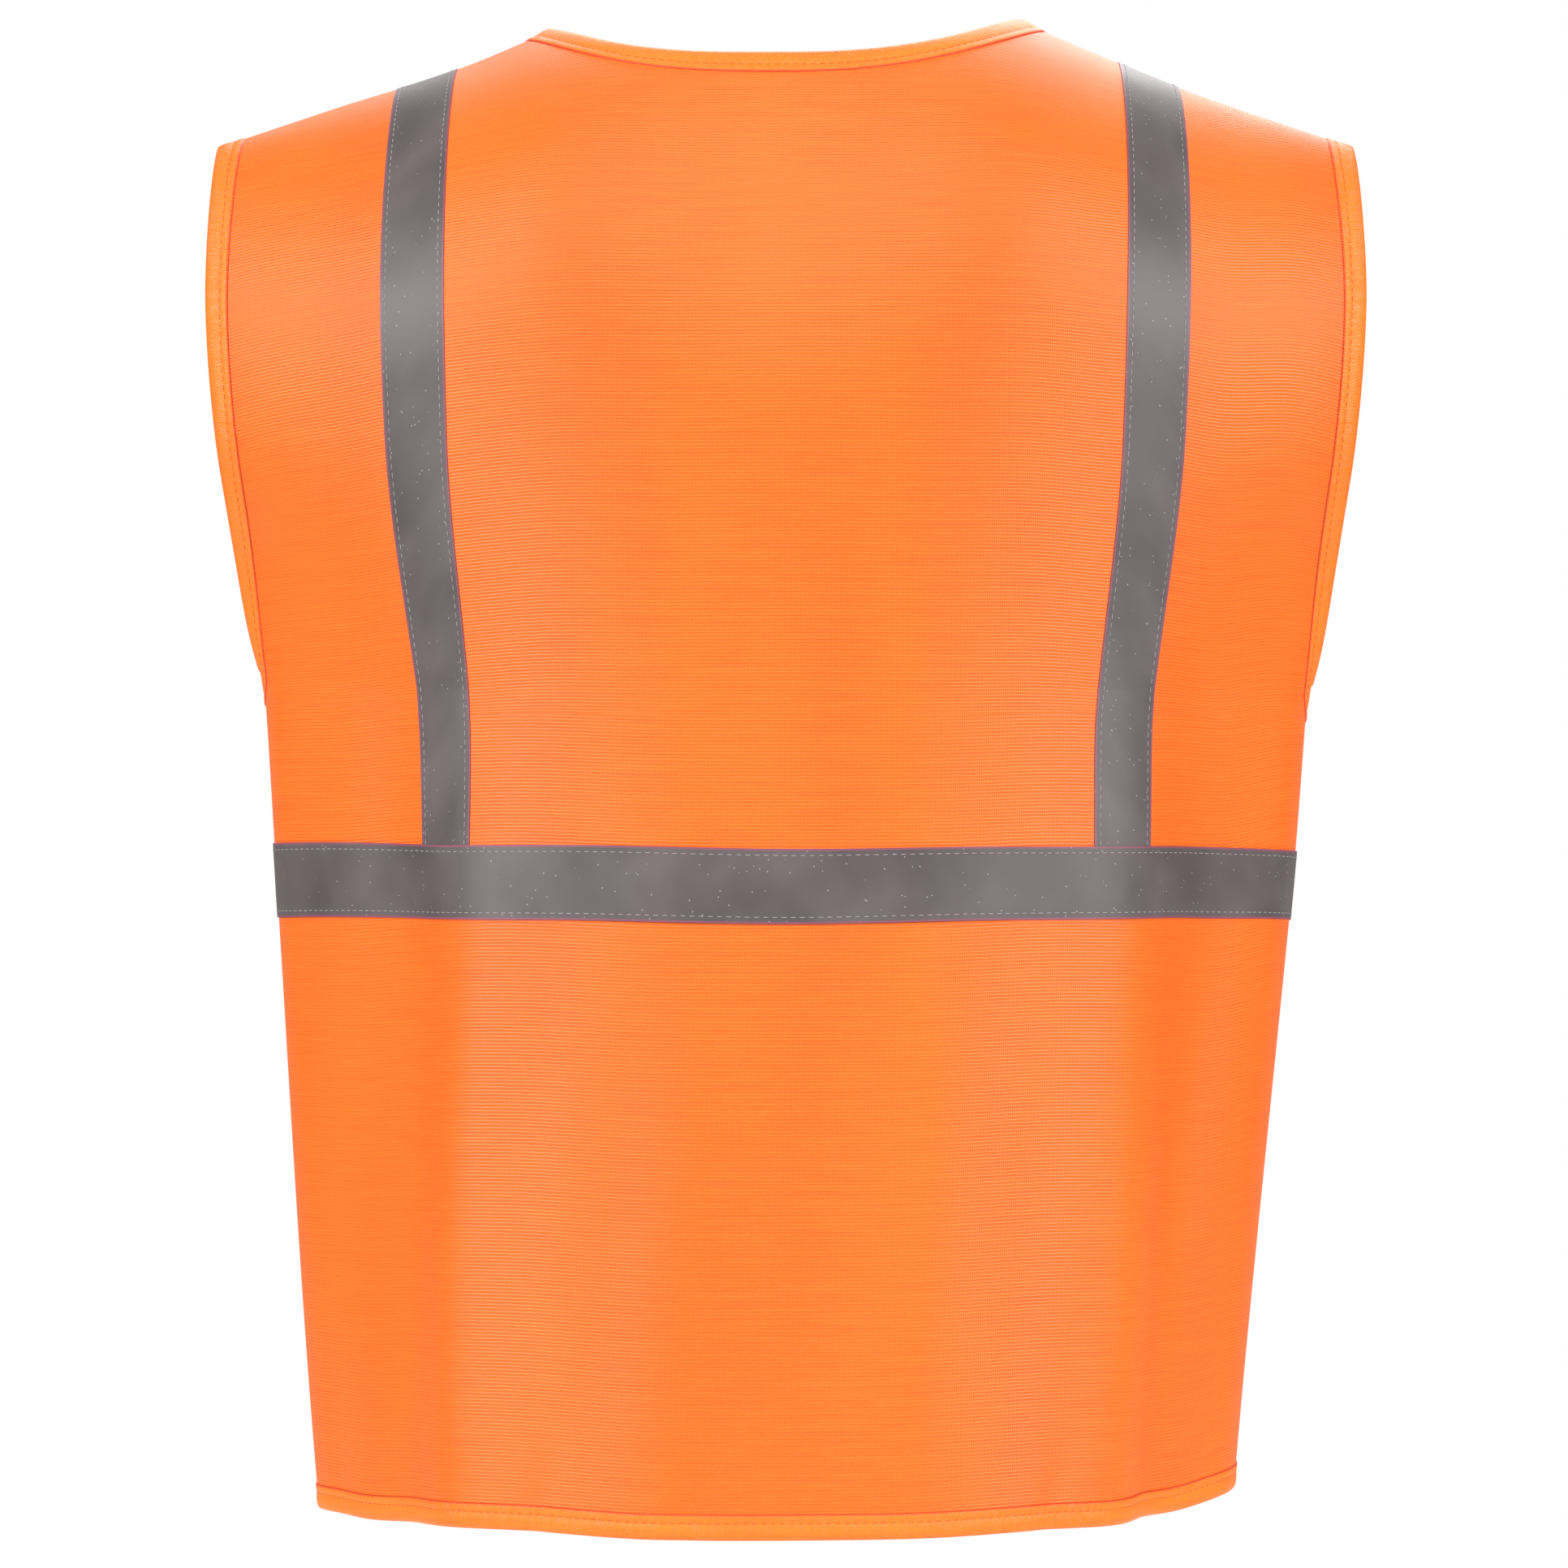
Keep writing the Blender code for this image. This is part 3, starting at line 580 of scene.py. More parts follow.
def tape_material():
    """Glass-bead tape: satin grey, clouded and dotted with painted glints, with a coloured cut edge."""
    material, tree, shader = new_material("reflective_tape", TAPE_LIGHT, TAPE_ROUGH, 0.0, TAPE_SHINE)
    cut = add_node(tree, "ShaderNodeUVMap", uv_map="cut").outputs[0]
    across = maths(tree, "ABSOLUTE", add_node(tree, "ShaderNodeSeparateXYZ", {0: cut}).outputs[1])
    clouds = maths(tree, "MULTIPLY_ADD", noise(tree, cut, CLOUD_SCALE), CLOUD_GAIN, CLOUD_LEVEL)
    grey = mixed(tree, clouds, TAPE_DARK, TAPE_LIGHT)
    # Painted glints: bright specks on some of the beads.
    beads = add_node(tree, "ShaderNodeTexVoronoi", {"Vector": cut, "Scale": GLINT_SCALE})
    chance = add_node(tree, "ShaderNodeTexWhiteNoise", {"Vector": beads.outputs["Position"]})
    near = maths(tree, "LESS_THAN", beads.outputs["Distance"], GLINT_SIZE)
    picked = maths(tree, "GREATER_THAN", chance.outputs["Value"], GLINT_CHANCE)
    glint = maths(tree, "MULTIPLY", maths(tree, "MULTIPLY", near, picked), GLINT_SHARE)
    glinted = mixed(tree, glint, grey, GLINT_COLOUR)
    ragged = maths(tree, "MULTIPLY_ADD", noise(tree, cut, RAGGED_SCALE), RAGGED, across)
    fringe = maths(tree, "GREATER_THAN", ragged, TAPE / 2 - FRINGE_WIDTH)
    colour = mixed(tree, maths(tree, "MULTIPLY", fringe, FRINGE_SHARE), glinted, FRINGE)
    tree.links.new(colour, shader.inputs["Base Color"])
    rough = maths(tree, "MULTIPLY_ADD", clouds, TAPE_ROUGH_CHANGE, TAPE_ROUGH)
    tree.links.new(rough, shader.inputs["Roughness"])
    bumped(tree, shader, noise(tree, cut, BEAD_SCALE, 1.0), BEAD_BUMP, BEAD_DEPTH)
    return material


# Thread: its twist darkens it down to THREAD_DARK of its colour.
THREAD_ROUGH, THREAD_SHEEN, THREAD_SCALE, THREAD_DARK = 0.55, 0.1, 2600.0, 0.65


def thread_material(name, colour):
    material, tree, shader = new_material(name, colour, THREAD_ROUGH, THREAD_SHEEN)
    place = add_node(tree, "ShaderNodeTexCoord").outputs["Object"]
    dark = tuple(THREAD_DARK * value for value in colour)
    colour = mixed(tree, noise(tree, place, THREAD_SCALE, 1.0), dark, colour)
    tree.links.new(colour, shader.inputs["Base Color"])
    return material


# Closing strips: the woven ground, darker between its tufts with painted shade.
GROUND, TUFT_GAP_SHADE, CLOSING_TINT = (1.0, 0.32, 0.08), (0.75, 0.17, 0.03), (1.0, 0.30, 0.07)
TUFT_SCALE, TUFT_EVEN, TUFT_GAIN = 700.0, 0.5, 1.2
CLOSING_ROUGH, CLOSING_SHEEN, TUFT_BUMP, TUFT_DEPTH = 0.8, 0.1, 0.7, 0.0004


def closing_material():
    """Woven ground of the closing strips, pricked where each hook or loop stands."""
    material, tree, shader = new_material("hook_and_loop", GROUND, CLOSING_ROUGH, CLOSING_SHEEN)
    shader.inputs["Sheen Tint"].default_value = (*CLOSING_TINT, 1.0)
    cut = add_node(tree, "ShaderNodeUVMap", uv_map="cut").outputs[0]
    inputs = {"Vector": cut, "Scale": TUFT_SCALE, "Randomness": TUFT_EVEN}
    tufts = add_node(tree, "ShaderNodeTexVoronoi", inputs)
    # Painted shade: darker away from the middle of each tuft.
    share = maths(tree, "MULTIPLY", tufts.outputs["Distance"], TUFT_GAIN)
    tree.links.new(mixed(tree, share, GROUND, TUFT_GAP_SHADE), shader.inputs["Base Color"])
    bumped(tree, shader, maths(tree, "SUBTRACT", 1.0, share), TUFT_BUMP, TUFT_DEPTH)
    return material


RIBS = rib_group()
# Each knit: darkest and lightest colour, distance between ribs and between courses, depth.
SHELL = knit_material("shell_fabric", (0.92, 0.096, 0.001), (1.0, 0.170, 0.008), 0.0016, 0.0011, 0.0003)
EDGING = knit_material(
    "edge_binding", (0.95, 0.130, 0.004), (1.0, 0.212, 0.012), 0.024, 0.0012, 0.0007, seam_shaded=True
)
SATIN = knit_material(
    "label_fabric", (0.72, 0.72, 0.70), (0.88, 0.88, 0.86), 0.0004, 0.0004, 0.00006
)
REFLECTIVE = tape_material()
TAPE_THREAD = thread_material("tape_thread", (0.42, 0.41, 0.38))
EDGE_THREAD = thread_material("edge_thread", (0.80, 0.12, 0.02))
CLOSING = closing_material()


# What repeats: stitches along rows, hooks and loops over the closing strips.

HOOK_START, HOOK_SWEEP = math.radians(-20), math.radians(215)


def repeating_tree(name, shape, along_rows):
    """Puts one small shape at each point, standing along "up" and turned along the row."""
    tree = bpy.data.node_groups.new(name, "GeometryNodeTree")
    number = "NodeSocketFloat"
    rows = [("Rows", "NodeSocketGeometry", None), ("Pitch", number, STITCH_PITCH)]
    rows += [("Length", number, STITCH_LENGTH), ("Thickness", number, THREAD)]
    rows += [("Material", "NodeSocketMaterial", None)]
    add_sockets(tree, rows, "INPUT")
    add_sockets(tree, [("Pieces", "NodeSocketGeometry", None)], "OUTPUT")
    given = tree.nodes.new("NodeGroupInput").outputs
    places = add_node(tree, "GeometryNodeMeshToCurve", {0: given["Rows"]}).outputs[0]
    if along_rows:
        inputs = {"Curve": places, "Length": given["Pitch"]}
        places = add_node(tree, "GeometryNodeResampleCurve", inputs, mode="LENGTH").outputs[0]
    solid = shape(tree, given)
    tangent = tree.nodes.new("GeometryNodeInputTangent").outputs[0]
    named = add_node(tree, "GeometryNodeInputNamedAttribute", {"Name": "up"}, data_type="FLOAT_VECTOR")
    turn = add_node(tree, "FunctionNodeAlignRotationToVector", {"Vector": tangent}, axis="X")
    inputs = {"Rotation": turn.outputs[0], "Vector": named.outputs[0]}
    turn = add_node(tree, "FunctionNodeAlignRotationToVector", inputs, axis="Z", pivot_axis="X")
    inputs = {"Points": places, "Instance": solid, "Rotation": turn.outputs[0]}
    placed = add_node(tree, "GeometryNodeInstanceOnPoints", inputs).outputs[0]
    real = add_node(tree, "GeometryNodeRealizeInstances", {0: placed}).outputs[0]
    inputs = {"Geometry": real, "Material": given["Material"]}
    finished = add_node(tree, "GeometryNodeSetMaterial", inputs).outputs[0]
    tree.links.new(finished, tree.nodes.new("NodeGroupOutput").inputs[0])
    return tree


def stitch_shape(tree, given):
    bead = add_node(tree, "GeometryNodeMeshUVSphere", {"Segments": 6, "Rings": 5, "Radius": 0.5})
    inputs = {0: given["Length"], 1: given["Thickness"], 2: given["Thickness"]}
    size = add_node(tree, "ShaderNodeCombineXYZ", inputs).outputs[0]
    inputs = {"Geometry": bead.outputs["Mesh"], "Scale": size}
    return add_node(tree, "GeometryNodeTransform", inputs).outputs[0]


def hook_shape(tree, given):
    """A filament bent over: Length is how high it stands."""
    inputs = {"Resolution": 6, "Radius": 0.5, "Start Angle": HOOK_START, "Sweep Angle": HOOK_SWEEP}
    arc = add_node(tree, "GeometryNodeCurveArc", inputs).outputs[0]
    inputs = {"Resolution": 4, "Radius": maths(tree, "DIVIDE", given["Thickness"], given["Length"])}
    round_wire = add_node(tree, "GeometryNodeCurvePrimitiveCircle", inputs).outputs[0]
    inputs = {"Curve": arc, "Profile Curve": round_wire, "Fill Caps": True}
    wire = add_node(tree, "GeometryNodeCurveToMesh", inputs).outputs[0]
    inputs = {0: given["Length"], 1: given["Length"], 2: given["Length"]}
    size = add_node(tree, "ShaderNodeCombineXYZ", inputs).outputs[0]
    inputs = {"Geometry": wire, "Rotation": (math.radians(90), 0.0, 0.0), "Scale": size}
    return add_node(tree, "GeometryNodeTransform", inputs).outputs[0]


STITCHING = repeating_tree("stitch_rows", stitch_shape, True)
FILAMENTS = repeating_tree("filament_rows", hook_shape, False)


def repeated(name, tree, rows, material, **settings):
    """All the rows of (points, directions) as one mesh."""
    vertices, edges, ups = [], [], []
    for points, normals in rows:
        edges += [(len(vertices) + k, len(vertices) + k + 1) for k in range(len(points) - 1)]
        vertices += points.tolist()
        ups += normals.tolist()
    mesh = bpy.data.meshes.new(name + "_rows")
    mesh.from_pydata(vertices, edges, [])
    up = mesh.attributes.new("up", "FLOAT_VECTOR", "POINT")
    up.data.foreach_set("vector", np.array(ups).ravel())
    guide = linked(name + "_rows", mesh)
    modifier = guide.modifiers.new("repeat", "NODES")
    modifier.node_group = tree
    values = {"Material": material, **settings}
    for item in tree.interface.items_tree:
        if item.in_out == "INPUT" and item.name in values:
            modifier[item.identifier] = values[item.name]
    graph = bpy.context.evaluated_depsgraph_get()
    result = bpy.data.meshes.new_from_object(guide.evaluated_get(graph))
    bpy.data.objects.remove(guide)
    result.name = name
    result.shade_smooth()
    return linked(name, result)


# Camera, light and floor.

CAMERA_PLACE, CAMERA_LENS = (0.0008, 3.5, -0.367), 163.0
LIGHT_AIM = (0.0, 0.0, -0.35)
# Each light: place, width and power.
LIGHTS = {
    "back_softbox": ((0.2, 3.0, 3.0), 3.0, 106),
    "front_softbox": ((-0.4, -3.4, 2.6), 3.0, 125),
    "left_strip": ((3.0, 1.6, 0.7), 0.9, 88),
    "right_strip": ((-3.0, 1.6, 0.7), 0.9, 86),
}
WHITE = (1.0, 1.0, 1.0, 1.0)
ROOM_LIGHT = 0.47
DIM_SIDES = 0.20  # the room's brightness to either side, as a share of the rest
DIM_START, DIM_END = 0.45, 0.95
FLOOR_Z = -1.15
FLOOR_REACH = 1.5
PAPER_DARK, PAPER_LIGHT, PAPER_ROUGH, PAPER_SCALE = (0.89, 0.89, 0.89), (0.92, 0.92, 0.92), 0.9, 3.0


def add_camera():
    data = bpy.data.cameras.new("camera")
    data.lens = CAMERA_LENS
    camera = bpy.data.objects.new("camera", data)
    camera.location = CAMERA_PLACE
    camera.rotation_euler = (math.radians(90), 0, math.radians(180))
    bpy.context.scene.collection.objects.link(camera)
    bpy.context.scene.camera = camera


def add_light(name, place, size, power):
    data = bpy.data.lights.new(name, "AREA")
    data.shape, data.size, data.energy = "DISK", size, power
    light = bpy.data.objects.new(name, data)
    light.location = place
    light.rotation_euler = (Vector(LIGHT_AIM) - Vector(place)).to_track_quat("-Z", "Y").to_euler()
    bpy.context.scene.collection.objects.link(light)


def add_studio():
    """Soft light on a pale floor; the camera sees a whiter room than the one that lights."""
    world = bpy.data.worlds.new("studio")
    world.use_nodes = True
    tree = world.node_tree
    room = tree.nodes["Background"]
    room.inputs["Color"].default_value = WHITE
    toward = add_node(tree, "ShaderNodeTexCoord").outputs["Generated"]
    sideways = maths(tree, "ABSOLUTE", add_node(tree, "ShaderNodeSeparateXYZ", {0: toward}).outputs[0])
    inputs = {0: sideways, 1: DIM_START, 2: DIM_END, 3: ROOM_LIGHT, 4: ROOM_LIGHT * DIM_SIDES}
    light = add_node(tree, "ShaderNodeMapRange", inputs).outputs[0]
    tree.links.new(light, room.inputs["Strength"])
    seen = add_node(tree, "ShaderNodeBackground", {"Color": WHITE})
    camera_ray = add_node(tree, "ShaderNodeLightPath").outputs["Is Camera Ray"]
    inputs = {0: camera_ray, 1: room.outputs[0], 2: seen.outputs[0]}
    mix = add_node(tree, "ShaderNodeMixShader", inputs)
    tree.links.new(mix.outputs[0], tree.nodes["World Output"].inputs["Surface"])
    bpy.context.scene.world = world
    for name, settings in LIGHTS.items():
        add_light(name, *settings)
    square = ((-1, -1), (1, -1), (1, 1), (-1, 1))
    corners = [(FLOOR_REACH * x, FLOOR_REACH * y, FLOOR_Z) for x, y in square]
    paper, tree, shader = new_material("paper", PAPER_LIGHT, PAPER_ROUGH)
    place = add_node(tree, "ShaderNodeTexCoord").outputs["Object"]
    colour = mixed(tree, noise(tree, place, PAPER_SCALE), PAPER_DARK, PAPER_LIGHT)
    tree.links.new(colour, shader.inputs["Base Color"])
    object_from("floor", corners, [[0, 1, 2, 3]], paper)
    bpy.context.scene.view_settings.view_transform = "Standard"


# The vest.

ROWS = np.concatenate([np.linspace(0, 1, 85), np.linspace(1, 2, 100)[1:]])  # t of a panel's rows
PER_METRE = 1 / (HEM_SEAM - UNDERARM_SEAM)  # how far t goes in a metre, below the underarm
WAIST_T = 1 + (WAIST_TOP - UNDERARM_SEAM) * PER_METRE
OUTER = CLOTH / 2
CLEAR, STRIP = 0.0001, 0.0008  # the gap between layers, and a closing strip's face from the layer below
BRACE_LAYER = (OUTER + CLEAR, OUTER + CLEAR + TAPE_THICKNESS)
WAIST_LAYER = (BRACE_LAYER[1] + CLEAR, BRACE_LAYER[1] + CLEAR + TAPE_THICKNESS)
LOOP_LAYER = (WAIST_LAYER[1] + CLEAR, WAIST_LAYER[1] + STRIP)
HOOK_LAYER = (-OUTER - STRIP, -OUTER - CLEAR)
ALLOWANCE_LAYER = (-OUTER - 0.0011, -OUTER - CLEAR)
BINDING_DIP = 0.00085  # how far out the stitches lie in a binding's dip
BRACE_OFFCUT = 0.37  # the two braces are cut from different lengths of tape
BRACE_UNDER = 0.03  # how far a brace runs on under the waist tape, in t
BRACE_ROW_START, BRACE_ROW_GAP = 0.02, 0.004
ASKEW_TOP, ASKEW_CHANGE, ASKEW_T = 0.0025, 0.0065, 1.1
# How the waist tape wanders: depth, turns per metre, start.
SWAY, FINE_SWAY, NARROWING = (0.0007, 14, 0.6), (0.0004, 37, 0.0), (0.0005, 11, -1.0)
CLOSING_ROW = 0.0085  # from the centre line to each row that sews a closing strip
HOOK_HEIGHT, LOOP_HEIGHT, FILAMENT, FILAMENT_STEP = 0.0011, 0.0013, 0.00009, 0.0022
STRIP_INSET, FIELD_START, FIELD_END, FIELD_ROWS = 0.0005, -0.0075, 0.0080, 8
SHOULDER_ALLOWANCE_T, SIDE_ALLOWANCE, SIDE_INSET, SIDE_START_T = 0.035, 0.010, 0.0005, 1.01
OVERLOCK_PITCH, OVERLOCK_LENGTH = 0.0034, 0.0036
# Each label: piece, body, node, middle of its sewn edge, half its width, and its drop.
LABELS = (
    ("neck_tag", "neck_label", "size_label", (0.0, 0.10643, -0.029), 0.014, 0.022),
    ("side_tag", "side_label", "care_label", (0.2089, 0.0, -0.600), 0.0175, 0.050),
)
LABEL_FACE, LABEL_CURL, CURL_ACROSS, CURL_DOWN = 0.00022, 0.00012, 5, 4

# Binding folded over the edge: outer face, round the edge, inner face.
EDGE_PROFILE = (
    (-0.0002, 0.00035), (0.0001, 0.00085), (0.0010, 0.00110), (0.0026, 0.00112), (0.0036, 0.00085),
    (0.0042, 0.00075), (0.0048, 0.00085), (0.0060, 0.00115), (0.0085, 0.00125), (0.0105, 0.00110),
    (0.0117, 0.00070), (0.0121, 0.0), (0.0117, -0.00070), (0.0105, -0.00110), (0.0085, -0.00120),
    (0.0055, -0.00110), (0.0042, -0.00080), (0.0020, -0.00105), (0.0001, -0.00085), (-0.0002, -0.00035),
)  # fmt: skip
# At the neck corners the front and back bindings turn round onto each other by this much.
NECK_TUCK = 0.005
TUCK_T = np.array([0.02, 0.04])
# The binding of the neck and the armholes is wider: it laps further over the cloth.
WIDE, WIDE_LAP = 1.16, 0.0019
WIDE_PROFILE = tuple((WIDE * off - WIDE_LAP, out) for off, out in EDGE_PROFILE)


def ride_vest(piece, finish, *nodes):
    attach(piece, "vest")
    finished(piece, finish, *nodes)


def ride_fold(piece, side, finish, *nodes):
    """Bakes the piece's placement into its mesh and hides the imported parts it stands in for."""
    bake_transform(piece)
    finished(piece, finish, *nodes)


def finished(piece, finish, *nodes):
    if nodes:
        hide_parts(*nodes)


def front_start(z):
    return along(v_neck_x(z), z)


def column(cloth, at, t):
    """s down a line that is given as a distance along the cloth at each height."""
    z = np.zeros_like(t)
    for _ in range(COLUMN_ROUNDS):
        s = at(z)
        z = height(cloth.top(s), t)
    return s


def add_panel(name, cloth, start, shares, mirrored):
    """A panel from a start line to the armhole and side seam."""
    u, t = np.meshgrid(shares, ROWS)
    s = column(cloth, lambda z: start(z) + (armhole_line(z) - start(z)) * u, t)
    if mirrored:
        s = np.concatenate([-s[:, :0:-1], s], 1)
        t = np.concatenate([t[:, :0:-1], t], 1)
    points, normals = cloth.place(s, t), cloth.normal(s, t)
    fall = np.linalg.norm(np.diff(points, axis=0), axis=2)
    above_hem = np.concatenate([np.cumsum(fall[::-1], axis=0)[::-1], 0 * fall[:1]])
    uv = np.stack([s, above_hem], -1)
    return closed_sheet(name, points, normals, -OUTER, OUTER, SHELL, uv)


def add_back():
    neck_share = NECK_S / float(armhole_line(0.0))
    shares = np.concatenate([np.linspace(0, neck_share, 38), np.linspace(neck_share, 1, 50)[1:]])
    panel = add_panel("back_cloth", BACK, lambda z: 0 * z, shares, True)
    ride_vest(panel, "shell_fabric", "back_panel")


def brace_place(cloth, side, share, t):
    """s of a brace tape; the wearer's right one on the back lies a little askew."""
    is_askew = cloth.face > 0 and side == RIGHT
    askew = ASKEW_TOP - ASKEW_CHANGE * smooth(t / ASKEW_T) if is_askew else 0.0
    s = column(cloth, lambda z: brace_line(z) + askew + TAPE * share, t)
    return s * side if cloth.face > 0 else s


def add_brace(cloth, side, name, node):
    share, t = np.meshgrid(np.linspace(0, 1, 13), np.linspace(0, WAIST_T + BRACE_UNDER, 150))
    s = brace_place(cloth, side, share, t)
    points, normals = cloth.place(s, t), cloth.normal(s, t)
    fall = np.cumsum(np.linalg.norm(np.diff(points, axis=0), axis=2), axis=0)
    down = np.concatenate([0 * fall[:1], fall])
    uv = np.stack([down + BRACE_OFFCUT * side, (share - 0.5) * TAPE], -1)
    piece = closed_sheet(name, points, normals, *BRACE_LAYER, REFLECTIVE, uv)
    ride_vest(piece, "reflective_tape", node)


def swing(s, shape):
    depth, turns, start = shape
    return depth * np.cos(turns * s + start)


def waist_t(s, share):
    """The waist tape isn't quite straight."""
    sway = swing(s, SWAY) + swing(s, FINE_SWAY)
    return WAIST_T + (TAPE * share + sway + swing(s, NARROWING) * share) * PER_METRE


def add_waist(name, cloth, s):
    s, share = np.meshgrid(s, np.linspace(0, 1, 13))
    t = waist_t(s, share)
    uv = np.stack([s, (share - 0.5) * TAPE], -1)
    points, normals = cloth.place(s, t), cloth.normal(s, t)
    return closed_sheet(name, points, normals, *WAIST_LAYER, REFLECTIVE, uv)


def lifted(points, normals, offset):
    return points + normals * offset, normals


def add_tapes():
    whole = np.linspace(-HALF_CHEST, HALF_CHEST, 191)
    half = np.linspace(-OVERLAP / 2, HALF_CHEST, 100)
    ride_vest(add_waist("back_waist_band", BACK, whole), "reflective_tape", "back_waist_tape")
    edges = (TAPE_ROW / TAPE, 1 - TAPE_ROW / TAPE)
    waist_top, brace_top = WAIST_LAYER[1] + CLEAR, BRACE_LAYER[1] + CLEAR
    rows = [lifted(*line(BACK, whole, waist_t(whole, share)), waist_top) for share in edges]
    down = np.linspace(BRACE_ROW_START, WAIST_T - BRACE_ROW_GAP, 260)
    for side in (LEFT, RIGHT):
        word, front = WORD[side], FRONTS[side]
        add_brace(BACK, side, word + "_back_brace", word + "_back_brace_tape")
        add_brace(front, side, word + "_front_brace", word + "_front_brace_tape")
        for cloth in (BACK, front):
            for share in edges:
                s = brace_place(cloth, side, share, down)
                rows.append(lifted(*line(cloth, s, down), brace_top))
        band = add_waist(word + "_front_waist_band", front, half)
        nodes = [f"{word}_{part}_waist_tape" for part in ("side", "flap")]
        ride_fold(band, side, "reflective_tape", *nodes)
        front_rows = [lifted(*line(front, half, waist_t(half, share)), waist_top) for share in edges]
        sewn = repeated(word + "_waist_stitches", STITCHING, front_rows, TAPE_THREAD)
        ride_fold(sewn, side, "reflective_tape")
    ride_vest(repeated("tape_stitches", STITCHING, rows, TAPE_THREAD), "reflective_tape")


def binding_row(points, normals, side, closed=False, wide=False):
    """The stitches that hold a binding, sunk in the dip of its outer face."""
    away = away_from(points, normals, side, closed)
    sewn = points + away * (WIDE * BINDING_ROW - WIDE_LAP if wide else BINDING_ROW)
    if closed:
        sewn, normals = np.vstack([sewn, sewn[:1]]), np.vstack([normals, normals[:1]])
    return lifted(sewn, normals, BINDING_DIP)


def armhole_ring(side):
    t = np.linspace(0, 1, 200)
    back = column(BACK, armhole_line, t) * side
    front = column(FRONTS[side], armhole_line, t)
    halves = [line(BACK, back, t), line(FRONTS[side], front[-2:0:-1], t[-2:0:-1])]
    return evenly(*(np.vstack(parts) for parts in zip(*halves)), EDGE_STEP, closed=True)


def add_edge(name, path, side, node, rows, closed=False, wide=False):
    rows.append(binding_row(*path, side, closed, wide))
    profile = WIDE_PROFILE if wide else EDGE_PROFILE
    return swept(name, *path, profile, EDGING, side, closed), "edge_binding", node


def add_bindings():
    rows = []
    tuck = np.array([NECK_TUCK, NECK_TUCK / 2])
    right, left = (
        line(FRONTS[side], column(FRONTS[side], front_start, TUCK_T), TUCK_T) for side in (RIGHT, LEFT)
    )
    right = tuple(part[::-1] for part in right)
    neck = (right, line(BACK, np.linspace(-NECK_S, NECK_S, 200), 0.0), left)
    neck = evenly(*(np.vstack(parts) for parts in zip(*neck)), EDGE_STEP)
    ride_vest(*add_edge("neck_edging", neck, 1, "neck_binding", rows, wide=True))
    hem = evenly(*line(BACK, np.linspace(-HALF_CHEST, HALF_CHEST, 400), 2.0), EDGE_STEP)
    ride_vest(*add_edge("back_hem_edging", hem, -1, "hem_binding", rows))
    t = np.linspace(0, 2, 500)
    for side in (LEFT, RIGHT):
        word, front, own = WORD[side], FRONTS[side], []
        ring = armhole_ring(side)
        node = word + "_armhole_binding"
        ride_vest(*add_edge(word + "_armhole_edging", ring, side, node, rows, closed=True, wide=True))
        turned = line(BACK, side * (NECK_S - tuck), 0.0), line(front, column(front, front_start, t), t)
        points, normals = evenly(*(np.vstack(parts) for parts in zip(*turned)), EDGE_STEP)
        corner = points[-1] + (points[-1] - points[-2]) * BINDING / EDGE_STEP
        path = np.vstack([points, corner]), np.vstack([normals, normals[-1]])
        piece, *rest = add_edge(word + "_front_edging", path, side, word + "_front_edge_binding", own)
        ride_fold(piece, side, *rest)
        hem = evenly(*line(front, np.linspace(-OVERLAP / 2, HALF_CHEST, 200), 2.0), EDGE_STEP)
        piece, *rest = add_edge(word + "_front_hem_edging", hem, side, word + "_flap_hem_binding", own)
        ride_fold(piece, side, *rest)
        for edge in (-CLOSING_ROW, CLOSING_ROW):
            own.append(lifted(*line(front, edge, np.linspace(V_T, 2, 200)), OUTER + CLEAR))
        sewn = repeated(word + "_front_stitches", STITCHING, own, EDGE_THREAD)
        ride_fold(sewn, side, "edge_binding")
    ride_vest(repeated("edge_stitches", STITCHING, rows, EDGE_THREAD), "edge_binding")


def add_fronts():
    for side in (LEFT, RIGHT):
        word = WORD[side]
        shares = np.linspace(0, 1, 86)
        panel = add_panel(word + "_front_cloth", FRONTS[side], front_start, shares, False)
        ride_fold(panel, side, "shell_fabric", word + "_front_panel", word + "_front_flap")


def add_closing():
    """Hook strip inside the left front, loop strip outside the right one."""
    plans = ((LEFT, "hook", HOOK_LAYER, -1, HOOK_HEIGHT), (RIGHT, "loop", LOOP_LAYER, 1, LOOP_HEIGHT))
    for side, kind, layer, facing, stand in plans:
        cloth, body = FRONTS[side], WORD[side] + "_front"
        t = np.linspace(V_T, 2, 130)
        s, rows = np.meshgrid(np.linspace(-OVERLAP / 2 + STRIP_INSET, OVERLAP / 2, 9), t)
        points, normals = cloth.place(s, rows), cloth.normal(s, rows)
        uv = np.stack([s, rows / PER_METRE], -1)
        piece = closed_sheet(kind + "_ground", points, normals, *layer, CLOSING, uv)
        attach(piece, body)
        finished(piece, "hook_and_loop", kind + "_strip")
        field = []
        face = layer[1] if facing > 0 else layer[0]
        for s in np.linspace(FIELD_START, FIELD_END, FIELD_ROWS):
            points, normals = evenly(*line(cloth, s, t), FILAMENT_STEP)
            field.append((points + normals * face, normals * facing))
        size = {"Length": stand, "Thickness": FILAMENT}
        filaments = repeated(kind + "_filaments", FILAMENTS, field, CLOSING, **size)
        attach(filaments, body)


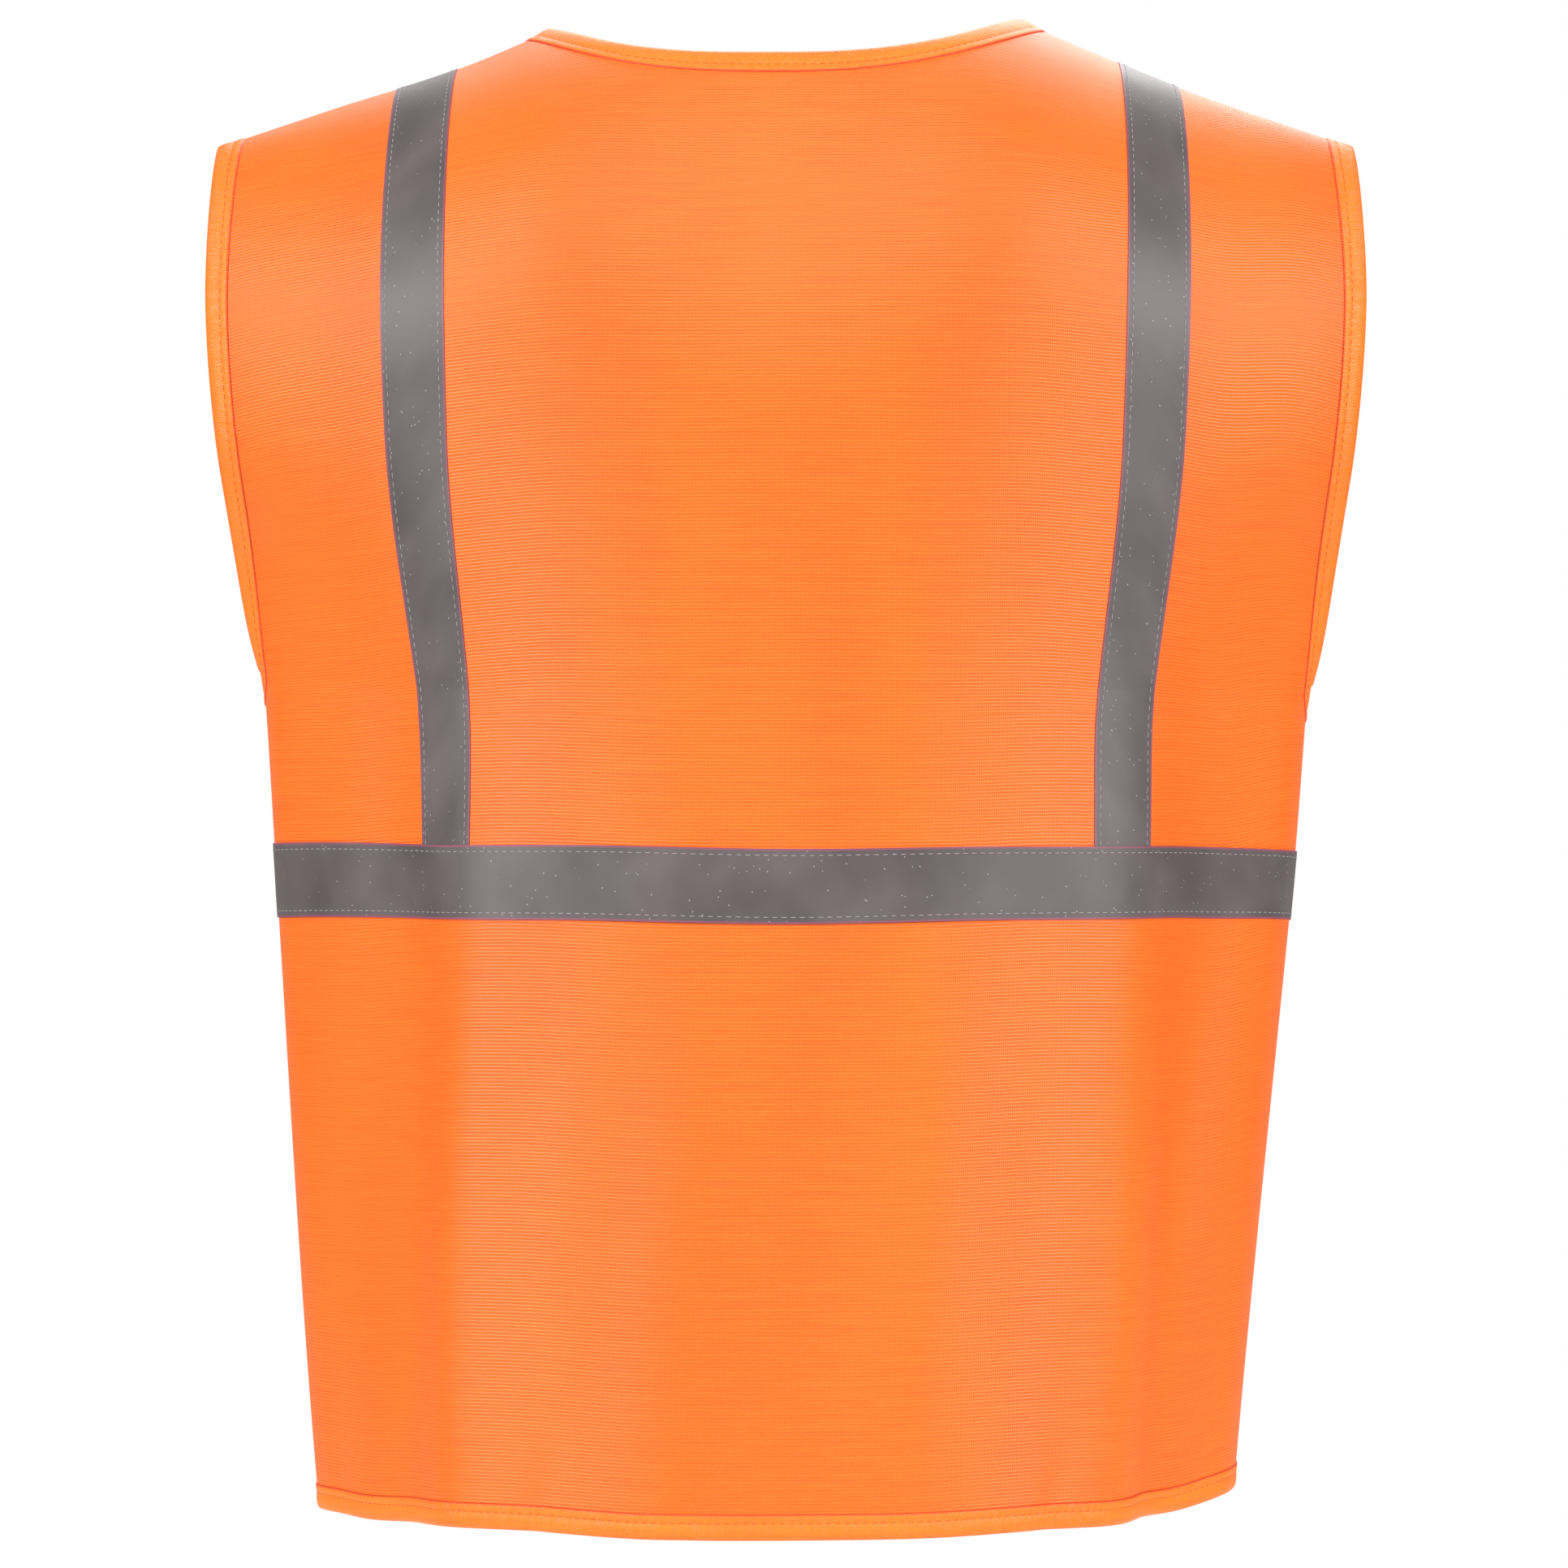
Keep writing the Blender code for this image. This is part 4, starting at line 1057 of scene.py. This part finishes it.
def add_seams():
    """Overlocked allowances of the shoulder and side seams, pressed to the back's inside."""
    shoulder = np.linspace(NECK_S, float(armhole_line(0.0)), 40), np.linspace(0, SHOULDER_ALLOWANCE_T, 5)
    beside = np.linspace(HALF_CHEST - SIDE_ALLOWANCE, HALF_CHEST - SIDE_INSET, 5)
    plans = (("shoulder", *shoulder), ("side", beside, np.linspace(SIDE_START_T, 2, 110)))
    for side in (LEFT, RIGHT):
        for kind, s, t in plans:
            name = f"{WORD[side]}_{kind}"
            s, t = np.meshgrid(s * side, t)
            points, normals = BACK.place(s, t), BACK.normal(s, t)
            uv = np.stack([s, t / PER_METRE], -1)
            piece = closed_sheet(name + "_allowance", points, normals, *ALLOWANCE_LAYER, SHELL, uv)
            ride_vest(piece, "shell_fabric", name + "_seam")
            if kind == "shoulder":
                points, normals = points[:, ::2], normals[:, ::2]
            else:
                points, normals = points.transpose(1, 0, 2), normals.transpose(1, 0, 2)
            loops = overlock(points[[1, -1]], normals[[1, -1]], ALLOWANCE_LAYER[0] - CLEAR)
            size = {"Pitch": OVERLOCK_PITCH, "Length": OVERLOCK_LENGTH}
            ride_vest(repeated(name + "_overlock", STITCHING, [loops], EDGE_THREAD, **size), "shell_fabric")


def overlock(lines, directions, offset):
    """A zigzag between two lines, inside the cloth."""
    points, normals = evenly(lines[0], directions[0], OVERLOCK_PITCH)
    count = len(points)
    share, own = np.linspace(0, 1, count), np.linspace(0, 1, len(lines[1]))
    other = np.stack([np.interp(share, own, lines[1][:, k]) for k in range(3)], 1)
    odd = (np.arange(count) % 2)[:, None]
    return points * (1 - odd) + other * odd + normals * offset, -normals


def add_labels():
    """Blank satin labels, one hanging at the back neck and one in the wearer's left side seam."""
    for name, body, node, place, half_width, drop in LABELS:
        across, down = np.meshgrid(np.linspace(-1, 1, 15), np.linspace(0, 1, 25))
        curl = LABEL_CURL * np.cos(CURL_ACROSS * across + CURL_DOWN * down)
        points = np.stack([across * half_width, curl, -down * drop], -1) + np.array(place)
        normals = np.zeros_like(points)
        normals[..., 1] = 1.0
        uv = np.stack([across * half_width, down * drop], -1)
        tag = closed_sheet(name, points, normals, -LABEL_FACE, LABEL_FACE, SATIN, uv)
        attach(tag, body)
        finished(tag, "label_fabric", node)


def main():
    add_camera()
    add_studio()
    add_back()
    add_fronts()
    add_tapes()
    add_bindings()
    add_closing()
    add_seams()
    add_labels()


main()
